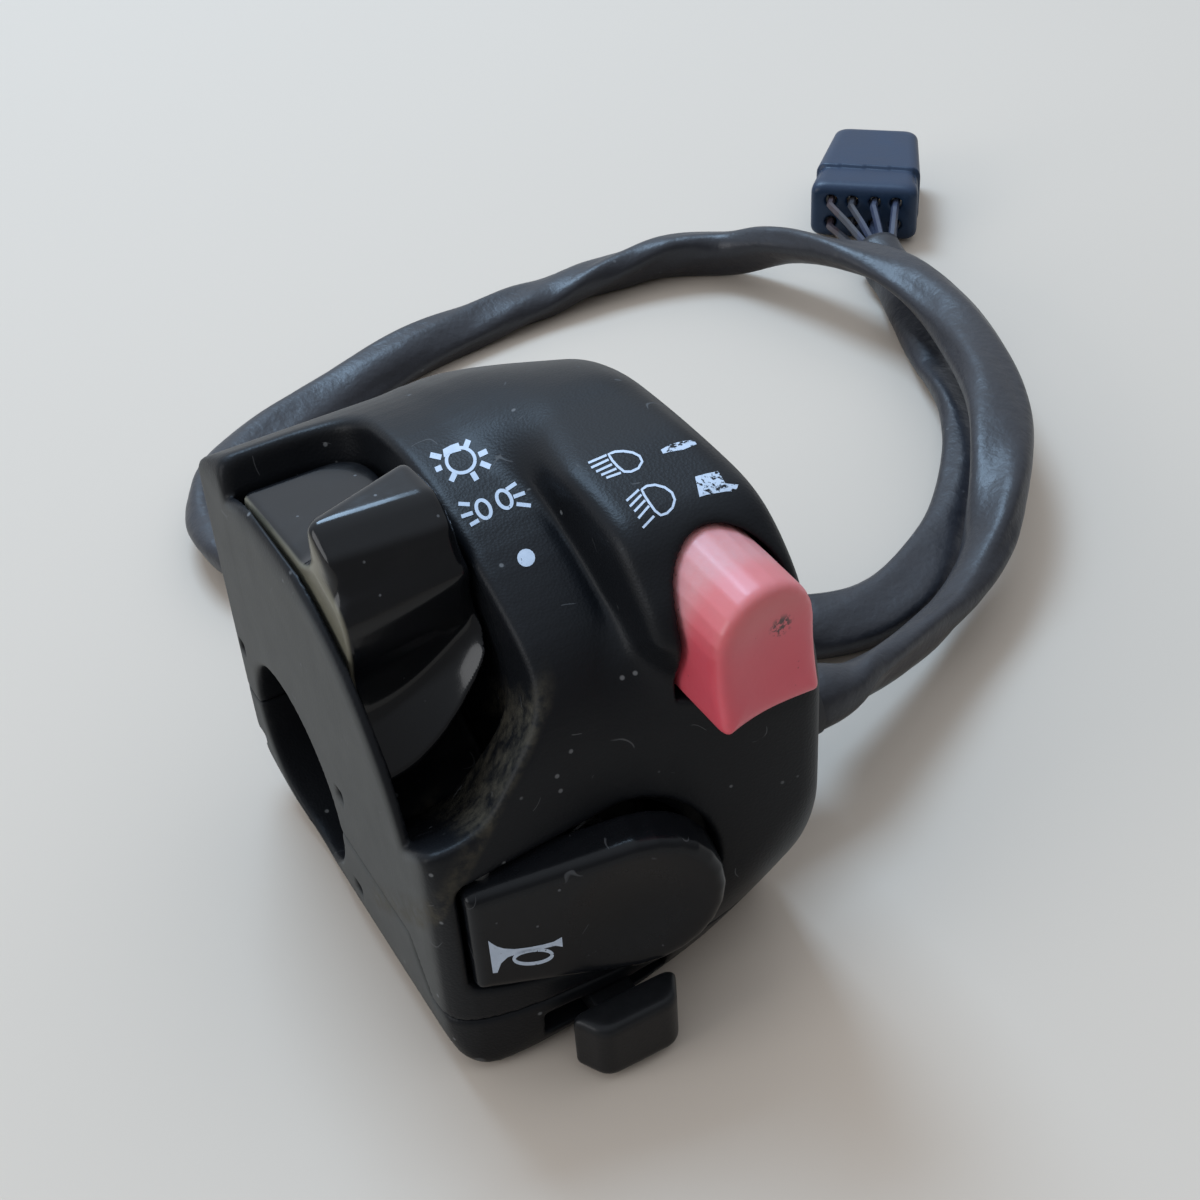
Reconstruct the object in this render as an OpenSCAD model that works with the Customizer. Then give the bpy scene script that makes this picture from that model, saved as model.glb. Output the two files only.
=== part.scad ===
// Handlebar switch cluster: two shells clamped round a bar, with a light lever, a dip button,
// a horn paddle, a turn-signal knob and a sleeved harness with its plug.
// The origin is the middle of the bar bore, +X runs along the bar, +Z points out of the controls.

/* [Housing] */
// Width of the housing along the bar
body_w = 41; // [38:0.5:46]
// Diameter of the handlebar bore
bar_d = 22.2; // [21.8:0.1:22.6]
// Wall of the two shells
wall = 2.2; // [1.8:0.1:2.6]
// Wall round the handlebar
bar_wall = 2.1; // [1.8:0.1:2.4]
// Depth of the flat back below the bar's centre
back_depth = 14; // [13.8:0.1:15]
// Rounding of the left end
left_round = 4.5; // [3.5:0.1:5]
// Rounding of the right end
right_round = 4; // [3:0.1:5]
// How far the parting line steps down at the front
part_step = 6.2; // [5.8:0.1:6.6]

/* [Light lever] */
// Width of the lever along the bar
lever_w = 12.7; // [11:0.1:13]
// Height of the lever's pivot above the bar's centre
pivot_z = 20; // [19.5:0.1:20.5]
// Diameter of the hub that turns in the shell
hub_d = 8; // [6:0.1:9]
// Turn of the finger fin away from the bar's direction
fin_yaw = 17; // [12:1:18]

/* [Dip button] */
// Width of the button
dip_w = 11.2; // [10:0.1:11.8]
// Height of the button
dip_h = 13.8; // [12.6:0.1:14.6]
// Distance of the button's face in front of the bar's centre
dip_face = 43; // [42.4:0.1:44]

/* [Horn button] */
// Length of the paddle
horn_len = 25; // [23:0.1:26]
// Radius of the paddle's round end
horn_end_r = 8.5; // [8:0.1:8.8]
// Thickness of the paddle
horn_thick = 4.6; // [4:0.1:5]
// Slant of the paddle's face to the bar
horn_slant = 13; // [10:1:14]

/* [Turn-signal knob] */
// Width of the knob where it meets the housing
knob_w = 11.5; // [9:0.1:12]
// Width of the knob's front face
knob_face_w = 7.4; // [6:0.1:9]
// Height of the knob
knob_h = 7.2; // [6:0.1:7.3]
// Depth of the knob
knob_depth = 4; // [3:0.1:6]
// Travel of the knob to each side
knob_travel = 4.5; // [3.5:0.1:5]

/* [Harness] */
// Diameter of the sleeve
sleeve_d = 7.5; // [7:0.1:8]
// Width of the connector
plug_w = 18.5; // [16:0.1:20]
// Length of the connector
plug_len = 21; // [19:0.1:24]
// Height of the connector
plug_h = 10.4; // [9:0.1:12]

/* [Hidden] */

// Segments of a round part, and of a corner of an outline
$fn = 48;
arc_steps = 4;
// Running fit of a shaft, gap of a sliding cover and depth of a cut past a face
fit = 0.05;
gap = 0.3;
past = 1;

half_w = body_w / 2;
left_near = -half_w + 0.13 * left_round;
left_mid = -half_w + 0.5 * left_round;
left_far = -half_w + left_round;
right_near = half_w - 0.13 * right_round;
right_mid = half_w - 0.5 * right_round;
right_far = half_w - right_round;
bar_r = bar_d / 2;
tunnel_r = bar_r + bar_wall;
floor_z = -back_depth;

// Corners of the housing's outline as seen along the bar: front to back, height, radius, flats
housing_outline = [
  [-37.6, floor_z, 3, 3], [14.5, floor_z, 6, 3], [21.5, 13, 7, 1], [21.5, 22, 5, 2], [17.2, 29.6, 7, 2],
  [6, 36, 12, 1], [-8, 39.5, 14, 1], [-20, 40.6, 16, 2], [-30, 39, 8, 3], [-36.4, 33, 9, 3],
  [-39.4, 21, 12, 1], [-39.9, 2, 15, 1], [-39.4, -7.6, 4, 1]
];
// The lower outline of the left half, from the floor in front over the top to the back
left_low = [
  [-35.4, floor_z], [-36.6, floor_z + 1.2], [-37.2, floor_z + 2.8], [-37.8, -7.6], [-36.9, 4],
  [-35, 14], [-34.2, 20], [-33.1, 24.6], [-30.8, 28.4], [-27.5, 31.2], [-19, 35.2], [-8, 37.4],
  [1, 37], [9, 34.4], [17, 29.4]
];
// The hollow inside, and how much lower it is in the left half
hollow = [
  [-34.6, -11.8], [9.6, -11.8], [14.4, -7], [19.2, 13.4], [19.2, 21.4], [15.4, 27.4], [5.6, 33.4],
  [-7.8, 36.8], [-19.6, 37.9], [-28.8, 36.5], [-34, 31.8], [-36.9, 20.8], [-37.4, 2], [-36.9, -7]
];
hollow_low = [
  [-33.4, -13], [-35.2, -7], [-34.4, 4], [-32.4, 17], [-30.4, 24.6], [-26.4, 28.8], [-18.4, 32.6],
  [-8, 34.8], [0.6, 34.4], [8, 32], [16, 27]
];
// The left end face above the parting line
end_face = [
  [-31, -20], [-30.4, 4], [-30, 16], [-28.6, 22.6], [-25.4, 27.2], [-18, 30.6], [-8, 32.4],
  [4.8, 30.2], [12.6, 26.2], [17, 20], [17, -20]
];
// Where the two halves meet
step_at = 2.8;
// Flats that round off the right end: direction out of the body and distance from the origin
shoulders = [
  [0.242, 0.475, 0.846, 35.4], [0.713, 0.115, 0.692, 39.1], [0.829, -0.059, 0.557, 38.8],
  [0.894, -0.356, 0.272, 38.4], [0.354, -0.824, -0.442, 37.1], [0.173, -0.831, -0.529, 36.4]
];
// Outlines of the housing from above (along the bar, front to back) and from the front (along, up)
plan = [
  [-half_w, -31.4], [-half_w + 0.3, -33.8], [-half_w + 1.3, -35.2], [-half_w + 3.2, -36.3],
  [-half_w + 7.6, -37.3], [-6, -38.2], [3, -39.2], [9, -41], [right_far, -41], [right_mid, -39.8],
  [right_near, -38], [half_w, -35.6], [half_w, 16.8], [right_near, 19.4], [right_mid, 21],
  [right_far, 21.8], [-14.4, 21.8], [-17.4, 20], [-19.6, 17], [-half_w, 13.8]
];
front_view = [
  [-half_w, floor_z + left_round], [left_near, floor_z + 2.2], [left_mid, floor_z + 0.8],
  [left_far, floor_z - 0.2], [right_far, floor_z - 0.2], [right_mid, floor_z + 0.7],
  [right_near, floor_z + 2], [half_w, floor_z + right_round], [half_w, 36.2], [right_near, 38.2],
  [right_mid, 39.6], [right_far, 40.8], [-13, 40.8], [left_far, 36.6], [left_mid, 35.4],
  [left_near, 33.6], [-half_w, 31.6]
];

// Light switch
pivot_y = -5;
lever_gap = 0.3;
end_wall = 1.3;
lever_l = -half_w + end_wall + lever_gap;
lever_r = lever_l + lever_w;
recess_l = -half_w + end_wall;
recess_r = lever_r + lever_gap;
recess_wall = 1.6;
hub_r = hub_d / 2;
fin_start = 1.4;
fin_mid_y = -15.3;
fin_short = 2.4;
screw_grip = 6;
hub_end = recess_r + recess_wall + 0.2;
rotor_r = 6.4;
rotor_t = 2;
board_t = 1.4;
light_board_x = hub_end + rotor_t + 0.7;
light_post_r = 1.8;
light_posts = [[-12.4, 27.4], [2.4, 27.4]];
board_screw_r = 1;

// Dip switch
dip_x = half_w - 8.5;
dip_z = 23.6;
dip_back = 29;
dip_face_y = -dip_face;
dip_back_y = -dip_back;
dip_travel = 4;
dip_body_front = -19;
dip_body_back = -9;
dip_body_w = 10;
dip_body_drop = 3;
dip_body_rise = 10;
// The shelf that carries the switch body, and the sleeve that guides the button
dip_shelf_w = 10.8;
dip_shelf_low = 8;
dip_shelf_front = dip_body_front + 3;
dip_guide_wall = 1.4;
dip_guide_short = 3.5;
plunger_r = 2.4;
plunger_z = dip_z + 6.5;
plunger_boss_r = 4;
coil_rings = 8;
coil_sides = 6;
coil_seat = 0.1;
dip_coil_r = 3.1;
dip_coil_wire = 0.3;
dip_coil_turns = 6;

// Horn switch: the corner that the paddle is drawn from, on its outer face
horn_x = -half_w + 2.8;
horn_y = -36.8;
horn_top = 11.4;
horn_low = -1.2;
horn_cx = horn_len - horn_end_r;
horn_cz = 4.4;
horn_pin_r = 1;
horn_pin_u = 2.2;
horn_pin_in = 3.2;
horn_pin_low = -4.2;
horn_pin_high = 14;
horn_block_y = -27.5;
horn_block_t = 3.2;
pin_keeper_top = 16;
horn_post_y = -33.1;
horn_coil_r = 2.2;
horn_coil_wire = 0.28;
horn_coil_turns = 5;
horn_coil_room = 0.9;

// Turn-signal switch
knob_x = -4.2;
knob_wall_y = -37.9;
knob_stand = 2;
knob_low = floor_z + 0.7;
stem_w = 4.6;
stem_low = -10.8;
stem_high = -8.4;
stem_end = -29.5;
stem_fit = 0.06;
carriage_w = 9.6;
carriage_front = -33.2;
carriage_back = -24.2;
carriage_low = -11.5;
carriage_high = -7.5;
pocket_end = carriage_back - 1.2;
detent_x = knob_x + 3.5;
detent_z = carriage_low + 2.2;
detent_depth = 4;
rail_y = -24;
rail_t = 1.6;
turn_board_z = -5.2;
turn_board_t = 1.2;
turn_board_front = -30;
turn_board_back = -15.5;
turn_board_w = 22;
turn_post_r = 1.9;
turn_posts = [[-8.2, -19.4], [1.8, -19.4]];
ball_r = 1;

// Clamp screws
screw_r = 2;
screw_hole = 0.2;
screw_head_r = 3.4;
screw_head_h = 2.4;
screw_seat = floor_z + 3.4;
boss_r = 4.3;
web = 1.2;
clamp_spots = [[9.2, -18], [-14.8, -18]];
clamp_top = 4.4;
// The tongue that holds the back of the shells together
hook_half = 12;
hook_y = 13.7;
hook_t = 1.2;
hook_drop = 3.4;

// Harness
sleeve_r = sleeve_d / 2;
grommet_y = -19.5;
grommet_z = -2;
grommet_hole_r = 4.2;
grommet_len = 11;
lie_z = floor_z + sleeve_r + 0.05;
sleeve_start = half_w + grommet_len;
wire_r = 0.6;
plug_at = [116.5, 85];
plug_angle = 48;
plug_wall = 1.1;
plug_floor = 3;
plug_taper = 2.4;
plug_rows = [-5.2, -1.8, 1.8, 5.2];

// Route of the sleeve's centre line
route = [
  [sleeve_start, grommet_y, grommet_z], [sleeve_start + 2, grommet_y, grommet_z],
  [41.3, -17, -4.6], [50, -14.1, -6.6], [59.2, -10.3, -7.6], [68.1, -5.1, -6.6],
  [74.4, 0.3, -4.6], [80.6, 7.5, -3.2], [87.1, 17, -2.8], [92.3, 27.8, -2.7],
  [95.5, 39.1, -2.6], [96, 50.3, -2.5], [93.4, 60.4, -3.1], [90.1, 71.5, -5.9],
  [85.2, 80.4, -9.2], [76.7, 85.7, lie_z], [66, 87.4, lie_z], [55.2, 87.4, lie_z],
  [44.4, 86.4, lie_z], [33.8, 84.8, lie_z], [23.2, 82.5, lie_z], [12.8, 79.5, lie_z],
  [3, 75.4, lie_z], [-5, 68.6, lie_z], [-9.6, 59.4, lie_z], [-9.4, 49.4, lie_z],
  [-3.6, 41.2, lie_z], [5.4, 36.6, lie_z], [14.6, 31.8, lie_z], [21.6, 24.2, lie_z],
  [26.8, 15, lie_z], [32.8, 6.4, lie_z], [39.8, 0.8, lie_z], [47.6, -2.6, lie_z],
  [56.2, -2.4, lie_z], [65, 1.4, lie_z], [74, 7.6, lie_z], [82, 15.2, lie_z],
  [88.4, 23.8, lie_z], [92.7, 32.3, lie_z], [96.1, 40.7, lie_z], [99.1, 49.3, lie_z],
  [101.9, 57, lie_z], [105.2, 67.2, -9.8]
];
sleeve_sides = 10;

// Points of a closed outline with each corner rounded by its own radius
function turn_steps(a, b, n) = [for (i = [0 : n]) a + (b - a) * i / n];
function short_way(a, b) = b - a > 180 ? b - 360 : b - a < -180 ? b + 360 : b;
function corner(p, a, b) =
  let (
    u = (a - [p[0], p[1]]) / norm(a - [p[0], p[1]]),
    v = (b - [p[0], p[1]]) / norm(b - [p[0], p[1]]),
    h = acos(u * v) / 2,
    m = (u + v) / norm(u + v),
    c = [p[0], p[1]] + m * p[2] / sin(h),
    s = [p[0], p[1]] + u * p[2] / tan(h) - c,
    e = [p[0], p[1]] + v * p[2] / tan(h) - c,
    a0 = atan2(s[1], s[0]),
    a1 = short_way(a0, atan2(e[1], e[0]))
  )
  [for (t = turn_steps(a0, a1, len(p) > 3 ? p[3] : arc_steps)) c + p[2] * [cos(t), sin(t)]];
function xy(p) = [p[0], p[1]];
function rounded(o) = [
  for (i = [0 : len(o) - 1])
    each corner(o[i], xy(o[(i + len(o) - 1) % len(o)]), xy(o[(i + 1) % len(o)]))
];
module along_x(x0, x1) {
  translate([x0, 0, 0]) rotate([90, 0, 90]) linear_extrude(x1 - x0) children();
}
module along_y(y0, y1) {
  translate([0, y1, 0]) rotate([90, 0, 0]) linear_extrude(y1 - y0) children();
}
module rod_x(x0, x1, r, y, z) {
  translate([x0, y, z]) rotate([0, 90, 0]) cylinder(h = x1 - x0, r = r);
}
module rod_y(y0, y1, r, x, z) {
  translate([x, y1, z]) rotate([90, 0, 0]) cylinder(h = y1 - y0, r = r);
}
module rod_z(z0, z1, r, x, y) {
  translate([x, y, z0]) cylinder(h = z1 - z0, r = r);
}
module block(x0, x1, y0, y1, z0, z1) {
  translate([x0, y0, z0]) cube([x1 - x0, y1 - y0, z1 - z0]);
}
// The region above and in front of a line that runs over the left half
module beyond(line) {
  first = line[0];
  last = line[len(line) - 1];
  rim = [[60, last[1]], [60, 60], [-60, 60], [-60, first[1] - past], [first[0], first[1] - past]];
  along_x(-half_w - past, step_at) polygon(concat(line, rim));
}
module shoulder_cuts(deeper) {
  for (c = shoulders)
    rotate([0, -asin(c[2]), atan2(c[1], c[0])])
      translate([c[3] - deeper, -60, -60]) cube([60, 120, 120]);
}
// The whole housing as one solid
module body_solid() {
  intersection() {
    difference() {
      along_x(-half_w, half_w) polygon(rounded(housing_outline));
      beyond(left_low);
      shoulder_cuts(0);
    }
    translate([0, 0, -50]) linear_extrude(100) polygon(plan);
    along_y(-60, 60) polygon(front_view);
  }
}
// Everything above the parting line, which steps down at the front
module above_parting() {
  along_x(-half_w - past, half_w + past)
    polygon([[40, 0], [-27.5, 0], [-31, -part_step], [-60, -part_step], [-60, 60], [40, 60]]);
}
module inside() {
  difference() {
    along_x(-half_w + wall, half_w - wall) polygon(hollow);
    translate([wall, 0, 0]) beyond(hollow_low);
    shoulder_cuts(wall - 0.2);
  }
}
module tunnel() {
  rod_x(-half_w, half_w, tunnel_r, 0, 0);
}
module bar_bore() {
  rod_x(-half_w - past, half_w + past, bar_r, 0, 0);
}
// Small pockets round the bore in both end faces
module face_pockets() {
  for (x = [-half_w - past, half_w - past])
    for (y = [-tunnel_r - 1, tunnel_r - 0.6])
      for (z = [-7.6, 6])
        block(x, x + 2 * past, y, y + 1.6, z, z + 1.6);
}

// The scooped recess of the light lever, and the wall left round it
module recess_side(extra) {
  polygon([
    [6.8 + extra, 19 - extra], [6.8 + extra, 60], [-60, 60], [-60, 27 - extra],
    [-34.5, 17 - extra * 1.6], [-26, 11.5 - extra * 1.5], [-21.5, 7.2 - extra * 1.3],
    [-18.8, 5.8 - extra * 1.3], [-5 + extra, 14 - extra], [2.4 + extra, 15 - extra]
  ]);
  translate([pivot_y, pivot_z]) circle(r = 6.7 + extra);
}
module lever_recess() {
  along_x(recess_l, recess_r) recess_side(0);
  along_x(-half_w - past, recess_l + 0.1) difference() {
    recess_side(0);
    polygon(end_face);
  }
  rod_x(recess_r - past, hub_end, hub_r + fit, pivot_y, pivot_z);
}
module recess_walls() {
  along_x(-half_w, recess_r + recess_wall) recess_side(1.4);
}

// The flat behind the turn knob that leaves room to press it in anywhere on its way
module knob_relief() {
  reach = knob_w / 2 + knob_travel + gap;
  block(knob_x - reach, knob_x + reach, -60, knob_wall_y, knob_low - gap, knob_low + knob_h + gap);
}

// The outline of the dip button: flat below, round on top
module dip_outline(extra) {
  w = dip_w / 2;
  translate([dip_x, dip_z]) {
    translate([-w - extra, -extra]) square([dip_w + 2 * extra, dip_h - w + extra]);
    translate([0, dip_h - w]) circle(r = w + extra);
  }
}
// The outline of the horn paddle: square at the pivot, round at the other end
module horn_outline(extra) {
  polygon([
    [-extra, horn_low - extra], [-extra, horn_top + extra],
    [horn_cx, horn_cz + horn_end_r + extra], [horn_cx - 1, horn_cz - horn_end_r - extra]
  ]);
  translate([horn_cx, horn_cz]) circle(r = horn_end_r + extra);
}
module horn_place() {
  translate([horn_x, horn_y, 0]) rotate([0, 0, -horn_slant]) children();
}
// The middle of the paddle's pivot pin, seen from above
horn_pin_at = [
  horn_x + horn_pin_u * cos(horn_slant) + horn_pin_in * sin(horn_slant),
  horn_y - horn_pin_u * sin(horn_slant) + horn_pin_in * cos(horn_slant)
];
// The middle of the round end, on the back of the paddle
horn_push_at = [
  horn_x + horn_cx * cos(horn_slant) + horn_thick * sin(horn_slant),
  horn_y - horn_cx * sin(horn_slant) + horn_thick * cos(horn_slant)
];

module clamp_bosses(z0, z1) {
  for (s = clamp_spots) rod_z(z0, z1, boss_r, s[0], s[1]);
}
// The solid corner that holds one end of the paddle's pin
module pin_keeper(z0, z1) {
  block(horn_x - 1.2, horn_x + 6, -36, -30.4, z0, z1);
}
// The tongue that hooks the upper shell behind the back wall of the lower one
module hook() {
  block(-hook_half, hook_half, hook_y, hook_y + hook_t, -hook_drop, 2 * wall);
}

module upper_shell() {
  color([0.05, 0.05, 0.06])
  difference() {
    union() {
      intersection() {
        body_solid();
        above_parting();
      }
      hook();
    }
    difference() {
      inside();
      tunnel();
      recess_walls();
      clamp_bosses(-past, clamp_top + wall);
      block(
        clamp_spots[0][0] - web, clamp_spots[0][0] + web, clamp_spots[0][1], -bar_r, -past, clamp_top + wall
      );
      block(-hook_half, hook_half, hook_y, hook_y + 2 * hook_t, -hook_drop - past, 2 * wall);
      along_y(-42, dip_back_y - dip_guide_short) dip_outline(gap + dip_guide_wall);
      pin_keeper(horn_top + 0.8, pin_keeper_top);
      pin_keeper(-part_step, horn_low - 0.6);
      block(-2.2, 4.2, horn_block_y + horn_block_t, -8, 3, 9);
      for (p = light_posts) rod_x(recess_r, light_board_x, light_post_r, p[0], p[1]);
      block(
        dip_x - dip_shelf_w / 2, dip_x + dip_shelf_w / 2, dip_shelf_front, dip_body_back,
        dip_shelf_low, dip_z - dip_body_drop
      );
    }
    bar_bore();
    face_pockets();
    knob_relief();
    lever_recess();
    along_y(-60, dip_back_y + dip_travel + 2 * gap) dip_outline(gap);
    horn_place() along_y(-12, horn_thick + 2.4) horn_outline(0.45);
    rod_z(horn_pin_low, horn_pin_high, horn_pin_r + fit, horn_pin_at[0], horn_pin_at[1]);
    for (s = clamp_spots) rod_z(-past, clamp_top, screw_r + fit, s[0], s[1]);
    for (p = light_posts) rod_x(light_board_x - 2, light_board_x + past, board_screw_r + fit, p[0], p[1]);
    rod_x(half_w - 2 * wall, half_w + past, grommet_hole_r, grommet_y, grommet_z);
  }
}

module lower_shell() {
  color([0.06, 0.06, 0.065])
  difference() {
    body_solid();
    above_parting();
    difference() {
      inside();
      tunnel();
      clamp_bosses(floor_z - past, past);
      for (p = turn_posts) rod_z(floor_z - past, turn_board_z, turn_post_r, p[0], p[1]);
    }
    bar_bore();
    face_pockets();
    knob_relief();
    for (s = clamp_spots) {
      rod_z(floor_z - past, past, screw_r + screw_hole, s[0], s[1]);
      rod_z(floor_z - past, screw_seat, screw_head_r + 0.3, s[0], s[1]);
    }
    for (p = turn_posts) rod_z(turn_board_z - 3, turn_board_z + past, board_screw_r + fit, p[0], p[1]);
    block(
      knob_x - stem_w / 2 - knob_travel - 0.4, knob_x + stem_w / 2 + knob_travel + 0.4,
      -50, carriage_front, stem_low - 0.4, stem_high + 0.4
    );
    rod_x(half_w - 2 * wall, half_w + past, grommet_hole_r, grommet_y, grommet_z);
  }
}

// Light lever: a drum sector with a finger fin and a scooped skirt
lever_outline = [
  [5.2, 32.2, 1], [-7, 33.4, 3], [-10.5, 33.6, 2], [-20, 33, 1.5], [-19, 26, 6], [-20, 21.6, 4],
  [-24.2, 16.6, 0.6], [-23, 15.4, 0.6], [-14, 18.6, 2], [-9, 15.2, 2], [0.5, 15.6, 3], [6, 22, 2]
];
// The slanting lower edge of the skirt, seen from the front
skirt_cut = [
  [lever_l - past, 10], [lever_l - past, 15.2], [lever_l + 3, 15.6], [lever_l + 7, 17],
  [lever_l + 10.4, 19], [lever_l + 12, 22], [lever_l + 12.8, 27], [lever_r + past, 27], [lever_r + past, 10]
];
fin_outline = [[-11.6, 32.6, 1], [-12.6, 40.6, 1.4], [-17.4, 39.8, 1.8], [-19.2, 33.4, 1]];
module light_lever() {
  color([0.02, 0.02, 0.025])
  difference() {
    union() {
      along_x(lever_l, lever_r) polygon(rounded(lever_outline));
      translate([lever_l + fin_start, fin_mid_y, 0]) rotate([0, 0, fin_yaw]) translate([0, -fin_mid_y, 0])
        along_x(0, lever_w - fin_short) polygon(rounded(fin_outline));
      rod_x(lever_r - past, hub_end, hub_r, pivot_y, pivot_z);
    }
    rod_x(lever_r - screw_grip, hub_end + past, board_screw_r + fit, pivot_y, pivot_z);
    along_y(-30, fin_mid_y - gap) polygon(skirt_cut);
  }
}
module light_rotor() {
  color([0.85, 0.85, 0.8])
  difference() {
    rod_x(hub_end, hub_end + rotor_t, rotor_r, pivot_y, pivot_z);
    rod_x(hub_end - past, hub_end + rotor_t + past, board_screw_r + fit, pivot_y, pivot_z);
    rod_x(hub_end + 0.5, hub_end + rotor_t + past, ball_r * 0.8 + fit, pivot_y, pivot_z + 4.6);
  }
}
module light_screw() {
  color([0.7, 0.7, 0.72])
  union() {
    rod_x(lever_r - screw_grip + 0.5, hub_end + rotor_t + 0.6, board_screw_r, pivot_y, pivot_z);
    rod_x(hub_end + rotor_t, hub_end + rotor_t + 1.3, 2, pivot_y, pivot_z);
  }
}
module light_wiper() {
  color([0.8, 0.6, 0.25])
  translate([hub_end + rotor_t, pivot_y, pivot_z]) {
    block(0, 0.25, -4.6, -2.4, -3.6, 1.2);
    block(0.25, 0.65, -4.4, -3.8, -3.6, -2.6);
    block(0.25, 0.65, -3.2, -2.6, -3.6, -2.6);
  }
}
module light_detent_ball() {
  color([0.8, 0.8, 0.82])
  translate([hub_end + rotor_t - 0.2, pivot_y, pivot_z + 4.6]) sphere(r = ball_r * 0.8);
}
module light_detent_spring() {
  color([0.75, 0.75, 0.78])
  rod_x(hub_end + 0.5, hub_end + rotor_t - 0.2 - ball_r * 0.8, ball_r * 0.6, pivot_y, pivot_z + 4.6);
}
module light_board() {
  color([0.45, 0.3, 0.15])
  difference() {
    along_x(light_board_x, light_board_x + board_t)
      polygon([[-15, 16.5], [-8, 14.4], [3, 14.4], [5, 16.5], [5, 29.6], [-15, 29.6]]);
    rod_x(light_board_x - past, light_board_x + board_t + past, 2.6, pivot_y, pivot_z);
    for (p = light_posts)
      rod_x(light_board_x - past, light_board_x + board_t + past, board_screw_r + fit, p[0], p[1]);
  }
}
module light_pads() {
  color([0.85, 0.55, 0.3])
  for (p = [[-11, 21], [-9.6, 25], [-1, 24.6], [1.2, 18.4]])
    rod_x(light_board_x + board_t, light_board_x + board_t + 0.6, 1.1, p[0], p[1]);
}

// Dip button and its plunger switch
module dip_button() {
  color([0.8, 0.25, 0.28])
  difference() {
    along_y(dip_face_y, dip_back_y) dip_outline(0);
    translate([dip_x, dip_face_y - 24.4, dip_z + 7.2]) sphere(r = 25, $fn = 96);
    difference() {
      along_y(dip_face_y + 4, dip_back_y + past) dip_outline(-1.8);
      rod_y(dip_face_y, dip_back_y + past, plunger_boss_r, dip_x, plunger_z);
    }
  }
}
module dip_plunger() {
  color([0.9, 0.9, 0.88])
  rod_y(dip_back_y, dip_body_front + 3.5, plunger_r, dip_x, plunger_z);
}
// Centre line of a coil spring, and the least free space between its curls
function coil_path(r, wire, turns, height) = [
  for (i = [0 : turns * coil_rings])
    let (a = 360 * i / coil_rings)
    [r * cos(a), r * sin(a), wire + (height - 2 * wire) * i / (turns * coil_rings)]
];
function curl_gap(path, wire) = min([
  for (i = [0 : len(path) - 1])
    for (j = [i + coil_rings / 2 : len(path) - 1]) norm(path[i] - path[j])
]) - 2 * wire;
module coil(r, wire, turns, height) {
  path = coil_path(r, wire, turns, height);
  echo(curl_gap = curl_gap(path, wire));
  sweep(path, wire, coil_sides);
}
module dip_spring() {
  color([0.75, 0.75, 0.78])
  translate([dip_x, dip_body_front - coil_seat, plunger_z]) rotate([90, 0, 0])
    coil(dip_coil_r, dip_coil_wire, dip_coil_turns, dip_body_front - dip_back_y - 2 * coil_seat);
}
module dip_body() {
  color([0.12, 0.12, 0.13])
  difference() {
    block(
      dip_x - dip_body_w / 2, dip_x + dip_body_w / 2, dip_body_front, dip_body_back,
      dip_z - dip_body_drop, dip_z + dip_body_rise
    );
    rod_y(dip_body_front - past, dip_body_back - 1.2, plunger_r + fit, dip_x, plunger_z);
  }
}
module dip_contacts() {
  color([0.8, 0.6, 0.25])
  for (x = [-3.4, 0, 3.4])
    block(dip_x + x - 0.7, dip_x + x + 0.7, dip_body_back, dip_body_back + 2.6, dip_z + 2, dip_z + 2.5);
}

// Horn paddle, pin, spring and contacts
module horn_button() {
  color([0.03, 0.03, 0.035])
  difference() {
    union() {
      horn_place() along_y(0.8, horn_thick) horn_outline(0);
      horn_place() along_y(0, 0.8) intersection() {
        horn_outline(-0.7);
        translate([0.7, -20]) square([40, 60]);
      }
    }
    horn_place() translate([horn_cx - 0.5, -11.2, horn_cz]) sphere(r = 12, $fn = 72);
    rod_z(-past - 8, 20, horn_pin_r + fit, horn_pin_at[0], horn_pin_at[1]);
  }
}
module horn_pin() {
  color([0.7, 0.7, 0.72])
  rod_z(horn_pin_low, horn_pin_high, horn_pin_r, horn_pin_at[0], horn_pin_at[1]);
}
module horn_spring() {
  color([0.75, 0.75, 0.78])
  translate([horn_push_at[0] - 1, horn_block_y - coil_seat, horn_cz]) rotate([90, 0, 0])
    coil(horn_coil_r, horn_coil_wire, horn_coil_turns, horn_block_y - horn_push_at[1] - horn_coil_room);
}
module horn_blade() {
  color([0.8, 0.6, 0.25])
  horn_place()
  block(horn_cx - 9.5, horn_cx - 4.6, horn_thick, horn_thick + 0.3, horn_cz - 1.5, horn_cz + 1.5);
}
module horn_contact() {
  color([0.12, 0.12, 0.13])
  union() {
    block(-3.4, 5.4, horn_block_y, horn_block_y + horn_block_t, 2, 10);
    block(-9.5, -3.4, horn_block_y, horn_block_y + 0.8, horn_cz - 1, horn_cz + 1);
    block(-9.5, -8, horn_post_y, horn_block_y + 0.8, horn_cz - 1, horn_cz + 1);
  }
}

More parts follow.
